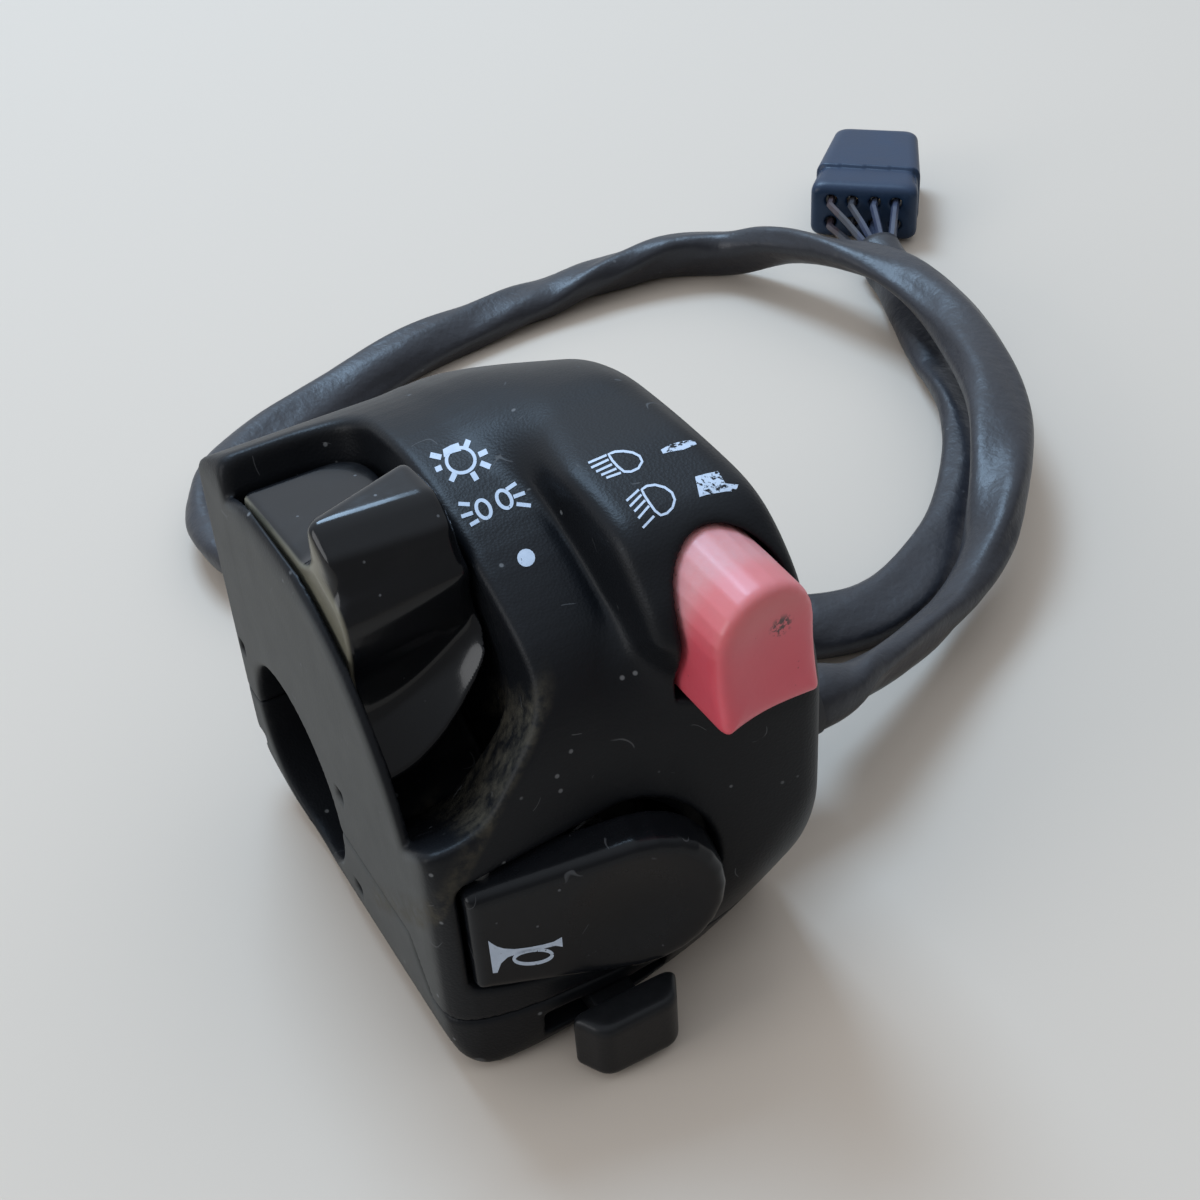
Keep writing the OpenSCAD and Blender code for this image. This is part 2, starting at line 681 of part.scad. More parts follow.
// Turn-signal knob and its sliding carriage
module turn_knob() {
  front = knob_wall_y - knob_stand - knob_depth;
  root = knob_wall_y - knob_stand;
  color([0.03, 0.03, 0.035])
  union() {
    translate([knob_x, 0, knob_low]) linear_extrude(knob_h)
      polygon([
        [-knob_w / 2, root], [-knob_w / 2, root - 0.8], [-knob_face_w / 2 - 0.5, front + 0.4],
        [-knob_face_w / 2, front], [knob_face_w / 2, front], [knob_face_w / 2 + 0.5, front + 0.4],
        [knob_w / 2, root - 0.8], [knob_w / 2, root]
      ]);
    block(knob_x - stem_w / 2, knob_x + stem_w / 2, root, stem_end, stem_low, stem_high);
  }
}
module turn_carriage() {
  color([0.85, 0.85, 0.8])
  difference() {
    block(
      knob_x - carriage_w / 2, knob_x + carriage_w / 2, carriage_front, carriage_back,
      carriage_low, carriage_high
    );
    block(
      knob_x - stem_w / 2 - stem_fit, knob_x + stem_w / 2 + stem_fit, carriage_front - past,
      pocket_end, stem_low - stem_fit, stem_high + stem_fit
    );
    rod_y(carriage_back - detent_depth, carriage_back + past, ball_r + fit, detent_x, detent_z);
  }
}
module turn_spring() {
  color([0.75, 0.75, 0.78])
  rod_y(stem_end, pocket_end, 1, knob_x, (stem_low + stem_high) / 2);
}
module turn_detent_ball() {
  color([0.8, 0.8, 0.82])
  translate([detent_x, rail_y - ball_r - 0.06, detent_z]) sphere(r = ball_r);
}
module turn_detent_spring() {
  color([0.75, 0.75, 0.78])
  rod_y(carriage_back - detent_depth, rail_y - 2 * ball_r - 0.06, ball_r * 0.8, detent_x, detent_z);
}
module turn_rail() {
  color([0.6, 0.6, 0.62])
  difference() {
    block(knob_x - 11, knob_x + 11, rail_y, rail_y + rail_t, floor_z + wall, turn_board_z - 0.4);
    for (x = [-knob_travel, 0, knob_travel])
      rod_z(floor_z, turn_board_z, 0.7, detent_x + x, rail_y);
  }
}
module turn_wiper() {
  color([0.8, 0.6, 0.25])
  union() {
    block(knob_x - 3.6, knob_x + 3.6, -30, -26.5, carriage_high, carriage_high + 0.3);
    for (x = [-3, 0, 3])
      block(knob_x + x - 0.5, knob_x + x + 0.5, -29.4, -27, carriage_high + 0.3, turn_board_z - 0.4);
  }
}
module turn_board() {
  color([0.45, 0.3, 0.15])
  difference() {
    block(
      knob_x - turn_board_w / 2 - 1, knob_x + turn_board_w / 2, turn_board_front, turn_board_back,
      turn_board_z, turn_board_z + turn_board_t
    );
    for (p = turn_posts)
      rod_z(turn_board_z - past, turn_board_z + turn_board_t + past, board_screw_r + fit, p[0], p[1]);
    for (s = clamp_spots)
      rod_z(turn_board_z - past, turn_board_z + turn_board_t + past, boss_r + gap, s[0], s[1]);
  }
}
module turn_pads() {
  color([0.85, 0.55, 0.3])
  for (x = [-7, -2.3, 2.3, 7])
    rod_z(turn_board_z + turn_board_t, turn_board_z + turn_board_t + 0.6, 1.1, knob_x + x, -26.5);
}

// Fasteners
module board_screws() {
  color([0.7, 0.7, 0.72]) {
    for (p = light_posts) {
      rod_x(light_board_x - 2, light_board_x + board_t, board_screw_r, p[0], p[1]);
      rod_x(light_board_x + board_t, light_board_x + board_t + 1, 1.8, p[0], p[1]);
    }
    for (p = turn_posts) {
      rod_z(turn_board_z - 3, turn_board_z + turn_board_t, board_screw_r, p[0], p[1]);
      rod_z(turn_board_z + turn_board_t, turn_board_z + turn_board_t + 1, 1.8, p[0], p[1]);
    }
  }
}
module clamp_screws() {
  head = screw_seat - screw_head_h;
  color([0.7, 0.7, 0.72])
  for (s = clamp_spots) {
    rod_z(screw_seat, clamp_top - 0.4, screw_r, s[0], s[1]);
    difference() {
      rod_z(head, screw_seat, screw_head_r, s[0], s[1]);
      block(s[0] - 2.4, s[0] + 2.4, s[1] - 0.5, s[1] + 0.5, head - past, head + 1.2);
      block(s[0] - 0.5, s[0] + 0.5, s[1] - 2.4, s[1] + 2.4, head - past, head + 1.2);
    }
  }
}

// A tube swept along points, closed at both ends
function unit(v) = v / norm(v);
function heading(p, i) = unit(p[min(i + 1, len(p) - 1)] - p[max(i - 1, 0)]);
function across(t) = unit(cross(t, abs(t[2]) > 0.9 ? [1, 0, 0] : [0, 0, 1]));
module sweep(path, r, sides) {
  rings = [
    for (i = [0 : len(path) - 1])
      let (t = heading(path, i), n = across(t), b = cross(n, t))
      for (k = [0 : sides - 1]) path[i] + r * (cos(360 * k / sides) * n + sin(360 * k / sides) * b)
  ];
  faces = [
    [for (k = [0 : sides - 1]) k],
    for (i = [0 : len(path) - 2])
      for (k = [0 : sides - 1])
        let (a = i * sides + k, b = i * sides + (k + 1) % sides)
        each [[a, a + sides, b], [b, a + sides, b + sides]],
    [for (k = [sides - 1 : -1 : 0]) (len(path) - 1) * sides + k]
  ];
  polyhedron(points = rings, faces = faces, convexity = 10);
}
wire_in = half_w - 2 * wall;
wire_stop = wire_in - 0.5;
wire_front = dip_shelf_front - wire_r - gap;
wire_paths = [
  [
    [1.4, -24.5, -3.3], [6, -25.5, -2.6], [wire_stop - 4, -23.8, -2.6],
    [wire_stop, grommet_y - 1.4, grommet_z - 1]
  ],
  [
    [6, -26, 4], [9.6, -25.8, 3.8], [wire_stop - 2.2, -23.2, 2],
    [wire_stop, grommet_y - 0.2, grommet_z + 1.6]
  ],
  [
    [wire_stop - 0.8, wire_front, 12], [wire_stop - 1.2, wire_front, 8], [wire_stop - 0.4, wire_front, 3.5],
    [wire_stop, grommet_y + 1.7, grommet_z - 0.9]
  ]
];
module inner_wires() {
  color([0.2, 0.25, 0.6])
  for (p = wire_paths) sweep(p, wire_r, 8);
}

module wire_grommet() {
  color([0.04, 0.04, 0.04])
  translate([0, grommet_y, grommet_z]) rotate([0, 90, 0]) rotate_extrude()
    polygon([
      [0, wire_in], [grommet_hole_r - fit, wire_in], [grommet_hole_r - fit, half_w], [5.4, half_w],
      [5.4, half_w + 1.4], [4.9, half_w + 1.9], [4.9, half_w + 3.4], [4.3, half_w + 4],
      [4.7, half_w + 4.8], [4.6, half_w + 6.2], [4.1, half_w + 6.8], [4.5, half_w + 7.6],
      [4.3, half_w + 9], [sleeve_r + 0.2, half_w + 9.8], [sleeve_r + 0.1, sleeve_start], [0, sleeve_start]
    ]);
}
module harness_sleeve() {
  color([0.07, 0.07, 0.08]) sweep(route, sleeve_r, sleeve_sides);
}

// Connector and its wires
module plug_place() {
  translate([plug_at[0], plug_at[1], floor_z]) rotate([0, 0, plug_angle]) children();
}
// The connector narrows a little towards its mouth
module plug_outline(inset) {
  back = plug_w / 2 - inset;
  front = back - plug_taper;
  over = inset > 0 ? past : 0;
  polygon([
    [-plug_len / 2, -back], [plug_len / 2, -front], [plug_len / 2 + over, -front],
    [plug_len / 2 + over, front], [plug_len / 2, front], [-plug_len / 2, back]
  ]);
}
module plug_housing() {
  color([0.06, 0.09, 0.16])
  plug_place() difference() {
    union() {
      translate([0, 0, 0.3]) linear_extrude(plug_h - 0.3) plug_outline(0);
      block(-2, 6, -2.4, 2.4, plug_h, plug_h + 1.2);
    }
    translate([0, 0, 0.3 + plug_wall]) linear_extrude(plug_h - 0.3 - 2 * plug_wall) intersection() {
      plug_outline(plug_wall);
      translate([-plug_len / 2 + plug_floor, -plug_w]) square(2 * plug_w);
    }
    for (y = plug_rows)
      for (z = [3.4, 7.2])
        rod_x(-plug_len / 2 - past, -plug_len / 2 + plug_floor + past, wire_r + fit, y, z);
  }
}
module plug_terminals() {
  color([0.8, 0.75, 0.6])
  plug_place()
  for (y = plug_rows)
    for (z = [3.4, 7.2])
      block(-plug_len / 2 + plug_floor, plug_len / 2 - 6, y - 0.8, y + 0.8, z - 0.4, z + 0.4);
}
sleeve_end = route[len(route) - 1];
module plug_wires() {
  color([0.1, 0.15, 0.5])
  for (y = plug_rows)
    for (z = [3.4, 7.2])
      let (
        c = cos(plug_angle),
        s = sin(plug_angle),
        h = -plug_len / 2,
        d = [-s * y, c * y, floor_z + z],
        e = [plug_at[0] + c * (h + plug_floor), plug_at[1] + s * (h + plug_floor), 0] + d,
        m = [plug_at[0] + c * (h - 1.5), plug_at[1] + s * (h - 1.5), 0] + d,
        a = sleeve_end + [-s * y * 0.38, c * y * 0.38, (z - 5.3) * 0.6]
      )
      sweep([a, (a + m) / 2 + [0, 0, 0.2], m, e], wire_r, 6);
}

upper_shell();
lower_shell();
light_lever();
light_rotor();
light_screw();
light_wiper();
light_detent_ball();
light_detent_spring();
light_board();
light_pads();
dip_button();
dip_plunger();
dip_spring();
dip_body();
dip_contacts();
horn_button();
horn_pin();
horn_spring();
horn_blade();
horn_contact();
turn_knob();
turn_carriage();
turn_spring();
turn_detent_ball();
turn_detent_spring();
turn_rail();
turn_wiper();
turn_board();
turn_pads();
board_screws();
clamp_screws();
inner_wires();
wire_grommet();
harness_sleeve();
plug_wires();
plug_housing();
plug_terminals();
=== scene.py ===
"""Looks of a handlebar switch cluster: shells, lever, buttons, printed symbols, harness and connector.

Lengths are in millimetres in the part's own frame until a mesh is made, and in metres after that.
"""

import math

import bpy
import numpy as np
from mathutils import Matrix, Vector
from mathutils.bvhtree import BVHTree


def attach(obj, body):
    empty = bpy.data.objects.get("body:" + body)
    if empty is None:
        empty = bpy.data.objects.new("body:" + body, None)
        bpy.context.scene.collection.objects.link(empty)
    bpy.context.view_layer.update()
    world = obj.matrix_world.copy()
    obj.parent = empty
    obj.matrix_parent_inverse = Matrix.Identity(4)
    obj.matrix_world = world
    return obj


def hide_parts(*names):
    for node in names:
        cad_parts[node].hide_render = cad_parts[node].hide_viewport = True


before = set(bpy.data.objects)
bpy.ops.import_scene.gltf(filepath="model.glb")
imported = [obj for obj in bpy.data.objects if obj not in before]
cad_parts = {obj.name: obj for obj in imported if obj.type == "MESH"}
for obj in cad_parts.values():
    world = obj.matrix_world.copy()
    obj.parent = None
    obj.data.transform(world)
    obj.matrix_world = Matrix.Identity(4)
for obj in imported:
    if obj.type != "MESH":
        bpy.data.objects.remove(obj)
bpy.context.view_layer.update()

MM = 0.001

# Driving dimensions, as in the part's source
HALF_W = 20.5
FLOOR_Z = -14.0
BAR_R = 11.1
WALL = 2.2
PARTING_STEP = 6.2
LEVER_L, LEVER_R = -18.9, -6.2
RECESS_L, RECESS_R = -19.2, -5.9
PIVOT_Y, PIVOT_Z = -5.0, 20.0
HUB_R = 4.0
DIP_X, DIP_Z, DIP_W, DIP_H = 12.0, 23.6, 11.2, 13.8
DIP_BACK_Y = -29.0
HORN_X, HORN_Y, HORN_SLANT = -17.7, -36.8, 13.0
HORN_LEN, HORN_END_R, HORN_THICK = 25.0, 8.5, 4.6
HORN_TOP, HORN_LOW, HORN_MID_Z = 11.4, -1.2, 4.4
KNOB_X, KNOB_ROOT, KNOB_FRONT = -4.2, -39.9, -43.9
KNOB_LOW, KNOB_H, KNOB_W, KNOB_FACE_W = -13.3, 7.2, 11.5, 7.4
STEM_W, STEM_LOW, STEM_HIGH, STEM_END = 4.6, -10.8, -8.4, -29.5
SLEEVE_D = 7.5
LIE_Z = FLOOR_Z + SLEEVE_D / 2 + 0.05
EXIT_Y, EXIT_Z = -19.5, -2.0
PLUG_AT, PLUG_ANGLE = (116.5, 85.0), 48.0
PLUG_LEN, PLUG_W, PLUG_H = 21.0, 18.5, 10.4
PLUG_TAPER, PLUG_ROWS = 2.4, (-5.2, -1.8, 1.8, 5.2)


# Camera
IMAGE_SIZE = 1200
FOCAL_PX = 1876.7
SENSOR_MM = 36.0
CAMERA_AT = Vector((-0.056715, -0.143966, 0.138962))
CAMERA_TURN = Vector((2.18523634, -0.611433, 0.21331123))


def camera_axes():
    """Rows of the matrix from the part's axes to right, down and forward."""
    angle = CAMERA_TURN.length
    return Matrix.Rotation(angle, 3, CAMERA_TURN / angle)


def make_camera():
    data = bpy.data.cameras.new("view")
    data.sensor_width = SENSOR_MM
    data.lens = FOCAL_PX / IMAGE_SIZE * SENSOR_MM
    data.clip_start, data.clip_end = 0.01, 20
    cam = bpy.data.objects.new("view", data)
    bpy.context.scene.collection.objects.link(cam)
    right, down, ahead = camera_axes()
    turn = Matrix((right, -down, -ahead)).transposed()
    cam.matrix_world = Matrix.Translation(CAMERA_AT) @ turn.to_4x4()
    bpy.context.scene.camera = cam
    return cam


def pixel_ray(px, py):
    """Direction from the camera through a pixel of the 1200 by 1200 photograph."""
    right, down, ahead = camera_axes()
    mid = IMAGE_SIZE / 2
    return (right * ((px - mid) / FOCAL_PX) + down * ((py - mid) / FOCAL_PX) + ahead).normalized()


make_camera()


# Meshes
def add_mesh(name, verts, faces, smooth=True):
    """A mesh object from vertices in millimetres."""
    mesh = bpy.data.meshes.new(name)
    mesh.from_pydata([tuple(v) for v in (np.asarray(verts) * MM)], [], [tuple(f) for f in faces])
    mesh.update()
    if smooth:
        mesh.polygons.foreach_set("use_smooth", [True] * len(mesh.polygons))
    obj = bpy.data.objects.new(name, mesh)
    bpy.context.scene.collection.objects.link(obj)
    return obj


def swept(name, path, ring):
    """A closed tube whose cross-section at point i is ring(i), a list of (across, up) offsets."""
    path = np.asarray(path, float)
    n = len(path)
    ahead = np.gradient(path, axis=0)
    ahead /= np.linalg.norm(ahead, axis=1)[:, None]
    across = np.cross(ahead, (0, 0, 1))
    across /= np.linalg.norm(across, axis=1)[:, None]
    up = np.cross(across, ahead)
    verts = []
    for i in range(n):
        section = np.asarray(ring(i))
        verts.append(path[i] + section[:, :1] * across[i] + section[:, 1:] * up[i])
    sides = len(verts[0])
    verts = np.concatenate(verts)
    faces = []
    for i in range(n - 1):
        for k in range(sides):
            a, b = i * sides + k, i * sides + (k + 1) % sides
            faces.append((a, b, b + sides, a + sides))
    faces.append(tuple(range(sides - 1, -1, -1)))
    faces.append(tuple((n - 1) * sides + k for k in range(sides)))
    return add_mesh(name, verts, faces)


def smooth_path(points, step):
    """A curve through the points, Catmull-Rom, sampled about every step."""
    p = np.asarray(points, float)
    p = np.vstack([2 * p[0] - p[1], p, 2 * p[-1] - p[-2]])
    out = []
    for i in range(1, len(p) - 2):
        count = max(2, int(np.linalg.norm(p[i + 1] - p[i]) / step))
        t = (np.arange(count) / count)[:, None]
        a, b, c, d = p[i - 1], p[i], p[i + 1], p[i + 2]
        out.append(
            0.5 * (2 * b + (c - a) * t + (2 * a - 5 * b + 4 * c - d) * t**2 + (3 * b - 3 * c + d - a) * t**3)
        )
    out.append(p[-2][None])
    return np.concatenate(out)


# Harness
SLEEVE_START = HALF_W + 11.0
ROUTE = [
    (SLEEVE_START, EXIT_Y, EXIT_Z), (SLEEVE_START + 2, EXIT_Y, EXIT_Z), (41.3, -17, -4.6),
    (50, -14.1, -6.6), (59.2, -10.3, -7.6), (68.1, -5.1, -6.6), (74.4, 0.3, -4.6),
    (80.6, 7.5, -3.2), (87.1, 17, -2.8), (92.3, 27.8, -2.7), (95.5, 39.1, -2.6),
    (96, 50.3, -2.5), (93.4, 60.4, -3.1), (90.1, 71.5, -5.9), (85.2, 80.4, -9.2),
    (76.7, 85.7, LIE_Z), (66, 87.4, LIE_Z), (55.2, 87.4, LIE_Z), (44.4, 86.4, LIE_Z),
    (33.8, 84.8, LIE_Z), (23.2, 82.5, LIE_Z), (12.8, 79.5, LIE_Z), (3, 75.4, LIE_Z),
    (-5, 68.6, LIE_Z), (-9.6, 59.4, LIE_Z), (-9.4, 49.4, LIE_Z), (-3.6, 41.2, LIE_Z),
    (5.4, 36.6, LIE_Z), (14.6, 31.8, LIE_Z), (21.6, 24.2, LIE_Z), (26.8, 15, LIE_Z),
    (32.8, 6.4, LIE_Z), (39.8, 0.8, LIE_Z), (47.6, -2.6, LIE_Z), (56.2, -2.4, LIE_Z),
    (65, 1.4, LIE_Z), (74, 7.6, LIE_Z), (82, 15.2, LIE_Z), (88.4, 23.8, LIE_Z),
    (92.7, 32.3, LIE_Z), (96.1, 40.7, LIE_Z), (99.1, 49.3, LIE_Z), (101.9, 57, LIE_Z),
    (105.2, 67.2, -9.8),
]
sleeve_path = smooth_path(ROUTE, 0.9)
sleeve_run = np.concatenate([[0], np.cumsum(np.linalg.norm(np.diff(sleeve_path, axis=0), axis=1))])
SLEEVE_SIDES = 28
SLEEVE_GRIP = 9.0
SLEEVE_WIDE, SLEEVE_THIN = 3.55, 3.45
FLOOR_GAP = 0.05
SETTLE_HEIGHT = 4.0


def sleeve_ring(i):
    """The slack sleeve is flattened, turns slowly about its length and carries a few soft folds."""
    run = sleeve_run[i]
    grip = min(run, sleeve_run[-1] - run) / SLEEVE_GRIP
    ease = 1.0 if grip > 1 else grip * grip * (3 - 2 * grip)
    wide = SLEEVE_WIDE + ease * (0.35 + 0.3 * math.sin(run * 0.093 + 1.1))
    thin = SLEEVE_THIN - ease * (1.05 + 0.32 * math.sin(run * 0.071))
    turn = ease * (0.7 * math.sin(run * 0.031 + 0.6) + 0.5 * math.sin(run * 0.077))
    ring = []
    for k in range(SLEEVE_SIDES):
        a = 2 * math.pi * k / SLEEVE_SIDES
        fold = 0.2 * ease * math.sin(3 * a + run * 0.11) + 0.12 * ease * math.sin(5 * a - run * 0.19)
        c, s = math.cos(a), math.sin(a)
        u = (wide + fold) * math.copysign(abs(c) ** 0.85, c)
        v = (thin + fold) * math.copysign(abs(s) ** 0.9, s)
        ring.append((u * math.cos(turn) - v * math.sin(turn), u * math.sin(turn) + v * math.cos(turn)))
    ring = np.array(ring)
    height = sleeve_path[i][2]
    lift = height + ring[:, 1].min() - (FLOOR_Z + FLOOR_GAP)
    lying = min(1.0, max(0.0, (LIE_Z + SETTLE_HEIGHT - height) / SETTLE_HEIGHT))
    ring[:, 1] -= ease * lift * lying**3
    return ring


sleeve = swept("sleeve", sleeve_path, sleeve_ring)


# Solids from distance fields
def rounded(corners, steps=6):
    """Points of a closed outline; a corner is (u, v, radius)."""
    out = []
    n = len(corners)
    for i, (u, v, r) in enumerate(corners):
        p = np.array((u, v), float)
        a = np.array(corners[i - 1][:2], float) - p
        b = np.array(corners[(i + 1) % n][:2], float) - p
        a, b = a / np.linalg.norm(a), b / np.linalg.norm(b)
        half = math.acos(np.clip(a @ b, -1, 1)) / 2
        mid = p + (a + b) / np.linalg.norm(a + b) * r / math.sin(half)
        s, e = p + a * r / math.tan(half) - mid, p + b * r / math.tan(half) - mid
        a0 = math.atan2(s[1], s[0])
        a1 = math.atan2(e[1], e[0])
        a1 += 2 * math.pi * round((a0 - a1) / (2 * math.pi))
        for t in np.linspace(a0, a1, steps + 1):
            out.append(mid + r * np.array((math.cos(t), math.sin(t))))
    return np.array(out)


def eased(points, rounds=2):
    """A closed outline with its corners cut again and again until they are soft."""
    p = np.asarray(points, float)
    for _ in range(rounds):
        q = np.roll(p, -1, axis=0)
        p = np.stack([0.75 * p + 0.25 * q, 0.25 * p + 0.75 * q], axis=1).reshape(-1, 2)
    return p


def outline(u, v, points):
    """Signed distance to a closed outline, negative inside."""
    u, v = np.broadcast_arrays(u, v)
    best = np.full(u.shape, 1e9)
    inside = np.zeros(u.shape, bool)
    for a, b in zip(points, np.roll(points, -1, axis=0)):
        ex, ey = b[0] - a[0], b[1] - a[1]
        wx, wy = u - a[0], v - a[1]
        t = np.clip((wx * ex + wy * ey) / (ex * ex + ey * ey + 1e-12), 0, 1)
        best = np.minimum(best, (wx - t * ex) ** 2 + (wy - t * ey) ** 2)
        if abs(ey) > 1e-9:
            inside ^= ((a[1] > v) != (b[1] > v)) & (wx < ex * wy / ey)
    best = np.sqrt(best)
    return np.where(inside, -best, best)


def smax(a, b, k):
    """The larger of two distances, with the corner between them rounded over k."""
    h = np.maximum(k - np.abs(a - b), 0) / k
    return np.maximum(a, b) + h * h * k / 4


def smin(a, b, k):
    """The smaller of two distances, with the corner between them filled over k."""
    return -smax(-a, -b, k)


def between(x, low, high):
    return np.maximum(low - x, x - high)


def round_bar(a, b, ca, cb, r):
    """Distance to a round bar from its two cross coordinates."""
    return np.sqrt((a - ca) ** 2 + (b - cb) ** 2) - r


# The twelve edges of a cell, as pairs of corners
EDGES = [
    (a, b)
    for a in np.ndindex(2, 2, 2)
    for b in np.ndindex(2, 2, 2)
    if sum(abs(i - j) for i, j in zip(a, b)) == 1 and a < b
]


def skin(field, low, step):
    """Surface of a sampled field: vertices, quads and normals."""
    cells = tuple(n - 1 for n in field.shape)
    filled = np.zeros(cells, np.int8)
    for i, j, k in np.ndindex(2, 2, 2):
        filled += field[i:i + cells[0], j:j + cells[1], k:k + cells[2]] < 0
    active = (filled > 0) & (filled < 8)
    number = np.full(cells, -1, np.int64)
    spots = np.argwhere(active)
    number[active] = np.arange(len(spots))
    total, count = np.zeros((len(spots), 3)), np.zeros(len(spots))
    for a, b in EDGES:
        fa, fb = (field[tuple((spots + c).T)] for c in (a, b))
        cross = (fa < 0) != (fb < 0)
        t = np.where(cross, fa / np.where(fa == fb, 1, fa - fb), 0)
        total += np.where(cross, 1, 0)[:, None] * (np.array(a) + t[:, None] * (np.array(b) - np.array(a)))
        count += cross
    place = spots + total / count[:, None]
    verts = np.array(low) + place * step
    faces = []
    for axis in range(3):
        one, two = (axis + 1) % 3, (axis + 2) % 3
        head = [slice(None)] * 3
        tail = [slice(None)] * 3
        head[axis], tail[axis] = slice(None, -1), slice(1, None)
        starts = field[tuple(head)] < 0
        flips = np.argwhere(starts != (field[tuple(tail)] < 0))
        flips = flips[(flips[:, one] > 0) & (flips[:, two] > 0)]
        flips = flips[(flips[:, one] < cells[one]) & (flips[:, two] < cells[two])]
        quad = []
        for d1, d2 in ((1, 1), (0, 1), (0, 0), (1, 0)):
            shift = np.zeros(3, int)
            shift[one], shift[two] = -d1, -d2
            quad.append(number[tuple((flips + shift).T)])
        quad = np.stack(quad, axis=1)
        outward = starts[tuple(flips.T)]
        faces.append(np.where(outward[:, None], quad, quad[:, ::-1]))
    faces = np.concatenate(faces)
    base = np.minimum(np.floor(place).astype(int), np.array(cells) - 1)
    part = place - base
    normals = np.zeros_like(place)
    for axis, slope in enumerate(np.gradient(field)):
        for corner in np.ndindex(2, 2, 2):
            weight = np.prod(np.where(np.array(corner), part, 1 - part), axis=1)
            normals[:, axis] += weight * slope[tuple((base + corner).T)]
    normals /= np.linalg.norm(normals, axis=1)[:, None] + 1e-12
    return verts, faces, normals


def grid(low, high, step):
    """Coordinates of a box of samples, as three arrays that broadcast."""
    axes = [np.arange(a, b + step, step) for a, b in zip(low, high)]
    x, y, z = (axes[0][:, None, None], axes[1][None, :, None], axes[2][None, None, :])
    return x, y, z


def add_skin(name, field, low, step):
    """An object from a sampled field, with the field's own normals."""
    verts, faces, normals = skin(field, low, step)
    mesh = bpy.data.meshes.new(name)
    mesh.vertices.add(len(verts))
    mesh.vertices.foreach_set("co", (verts * MM).ravel())
    mesh.loops.add(faces.size)
    mesh.loops.foreach_set("vertex_index", faces.ravel())
    mesh.polygons.add(len(faces))
    mesh.polygons.foreach_set("loop_start", np.arange(0, faces.size, 4))
    mesh.polygons.foreach_set("use_smooth", np.ones(len(faces), bool))
    mesh.update(calc_edges=True)
    mesh.validate()
    mesh.normals_split_custom_set_from_vertices(normals.tolist())
    obj = bpy.data.objects.new(name, mesh)
    bpy.context.scene.collection.objects.link(obj)
    return obj


# Housing
HOUSING_OUTLINE = rounded([
    (-37.6, FLOOR_Z, 3), (14.5, FLOOR_Z, 6), (21.5, 13, 7), (21.5, 22, 5), (17.2, 29.6, 7),
    (6, 36, 12), (-8, 39.5, 14), (-20, 40.6, 16), (-30, 39, 8), (-36.4, 33, 9), (-39.4, 21, 12),
    (-39.9, 2, 15), (-39.4, -7.6, 4),
])
LEFT_OUTLINE = eased([
    (-35.4, FLOOR_Z), (-36.6, -12.8), (-37.2, -11.2), (-37.8, -7.6), (-36.9, 4), (-35, 14),
    (-34.2, 20), (-33.1, 24.6), (-30.8, 28.4), (-27.5, 31.2), (-19, 35.2), (-8, 37.4), (1, 37),
    (9, 34.4), (17, 29.4), (21.4, 22), (21.4, 13), (14.5, FLOOR_Z),
])
PLAN = eased([
    (-HALF_W, -31.4), (-20.2, -33.8), (-19.2, -35.2), (-17.3, -36.3), (-12.9, -37.3), (-6, -38.2),
    (3, -39.2), (9, -41), (16.5, -41), (18.5, -39.8), (20, -38), (HALF_W, -35.6), (HALF_W, 16.8),
    (20, 19.4), (18.5, 21), (16.5, 21.8), (-14.4, 21.8), (-17.4, 20), (-19.6, 17), (-HALF_W, 13.8),
], 1)
FRONT = eased([
    (-21.4, -6.5), (-19.9, -11.8), (-18.25, -13.2), (-16, -14.2), (16.5, -14.2), (18.5, -13.3),
    (20, -12), (21.4, -7.5), (21.4, 34.5), (20, 38.2), (18.5, 39.6), (16.5, 40.8), (-13, 40.8),
    (-16, 36.6), (-18.25, 35.4), (-19.9, 33.6), (-21.4, 29.5),
], 1)
SHOULDERS = [
    (0.242, 0.475, 0.846, 35.4), (0.713, 0.115, 0.692, 39.1), (0.829, -0.059, 0.557, 38.8),
    (0.894, -0.356, 0.272, 38.4), (0.354, -0.824, -0.442, 37.1), (0.173, -0.831, -0.529, 36.4),
]
END_FACE = eased([
    (-31, -25), (-30.9, 4), (-30.2, 13), (-27.8, 19.6), (-24.9, 24), (-21.1, 28.2), (-15, 31.8),
    (-8, 33.8), (0.6, 33.4), (8, 30.6), (14, 26.4), (18, 20), (18, -25),
])
RECESS_SIDE = eased([
    (16, 19), (16, 60), (-60, 60), (-60, 27), (-34.5, 17), (-26, 11.5), (-21.5, 7.4),
    (-18.8, 6), (-5, 14), (6.8, 18),
], 1)
CREASE_X = 3.0
GROOVE_DEPTH = 1.0
CLAMP_SPOTS = [(9.2, -18), (-14.8, -18)]
SCREW_HEAD_R, SCREW_SEAT, SCREW_HOLE_R = 3.4, FLOOR_Z + 3.4, 2.2
MOVING_GAP = 0.3
PADDLE_GAP, PADDLE_ROOM, PADDLE_LEDGE, PADDLE_REACH = 0.45, 2.9, 1.6, 12.0
SWING_R, HUB_ROOM_R = 19.8, 6.7
POCKET_Y, POCKET_Z, POCKET_HALF, POCKET_DEPTH = 13.4, 6.8, 0.8, 1.0
DIP_WALL_Y, RELIEF_Y, SLOT_Y = -24.4, -37.9, -33.2
KNOB_TRAVEL, EXIT_HOLE_R = 4.8, 4.2
SHELL_STEP = 0.36


def dip_outline(x, z, grow):
    half = DIP_W / 2
    top = DIP_Z + DIP_H - half
    box = np.maximum(np.abs(x - DIP_X) - half, np.maximum(DIP_Z - z, z - top))
    return np.minimum(box, round_bar(x, z, DIP_X, top, half)) - grow


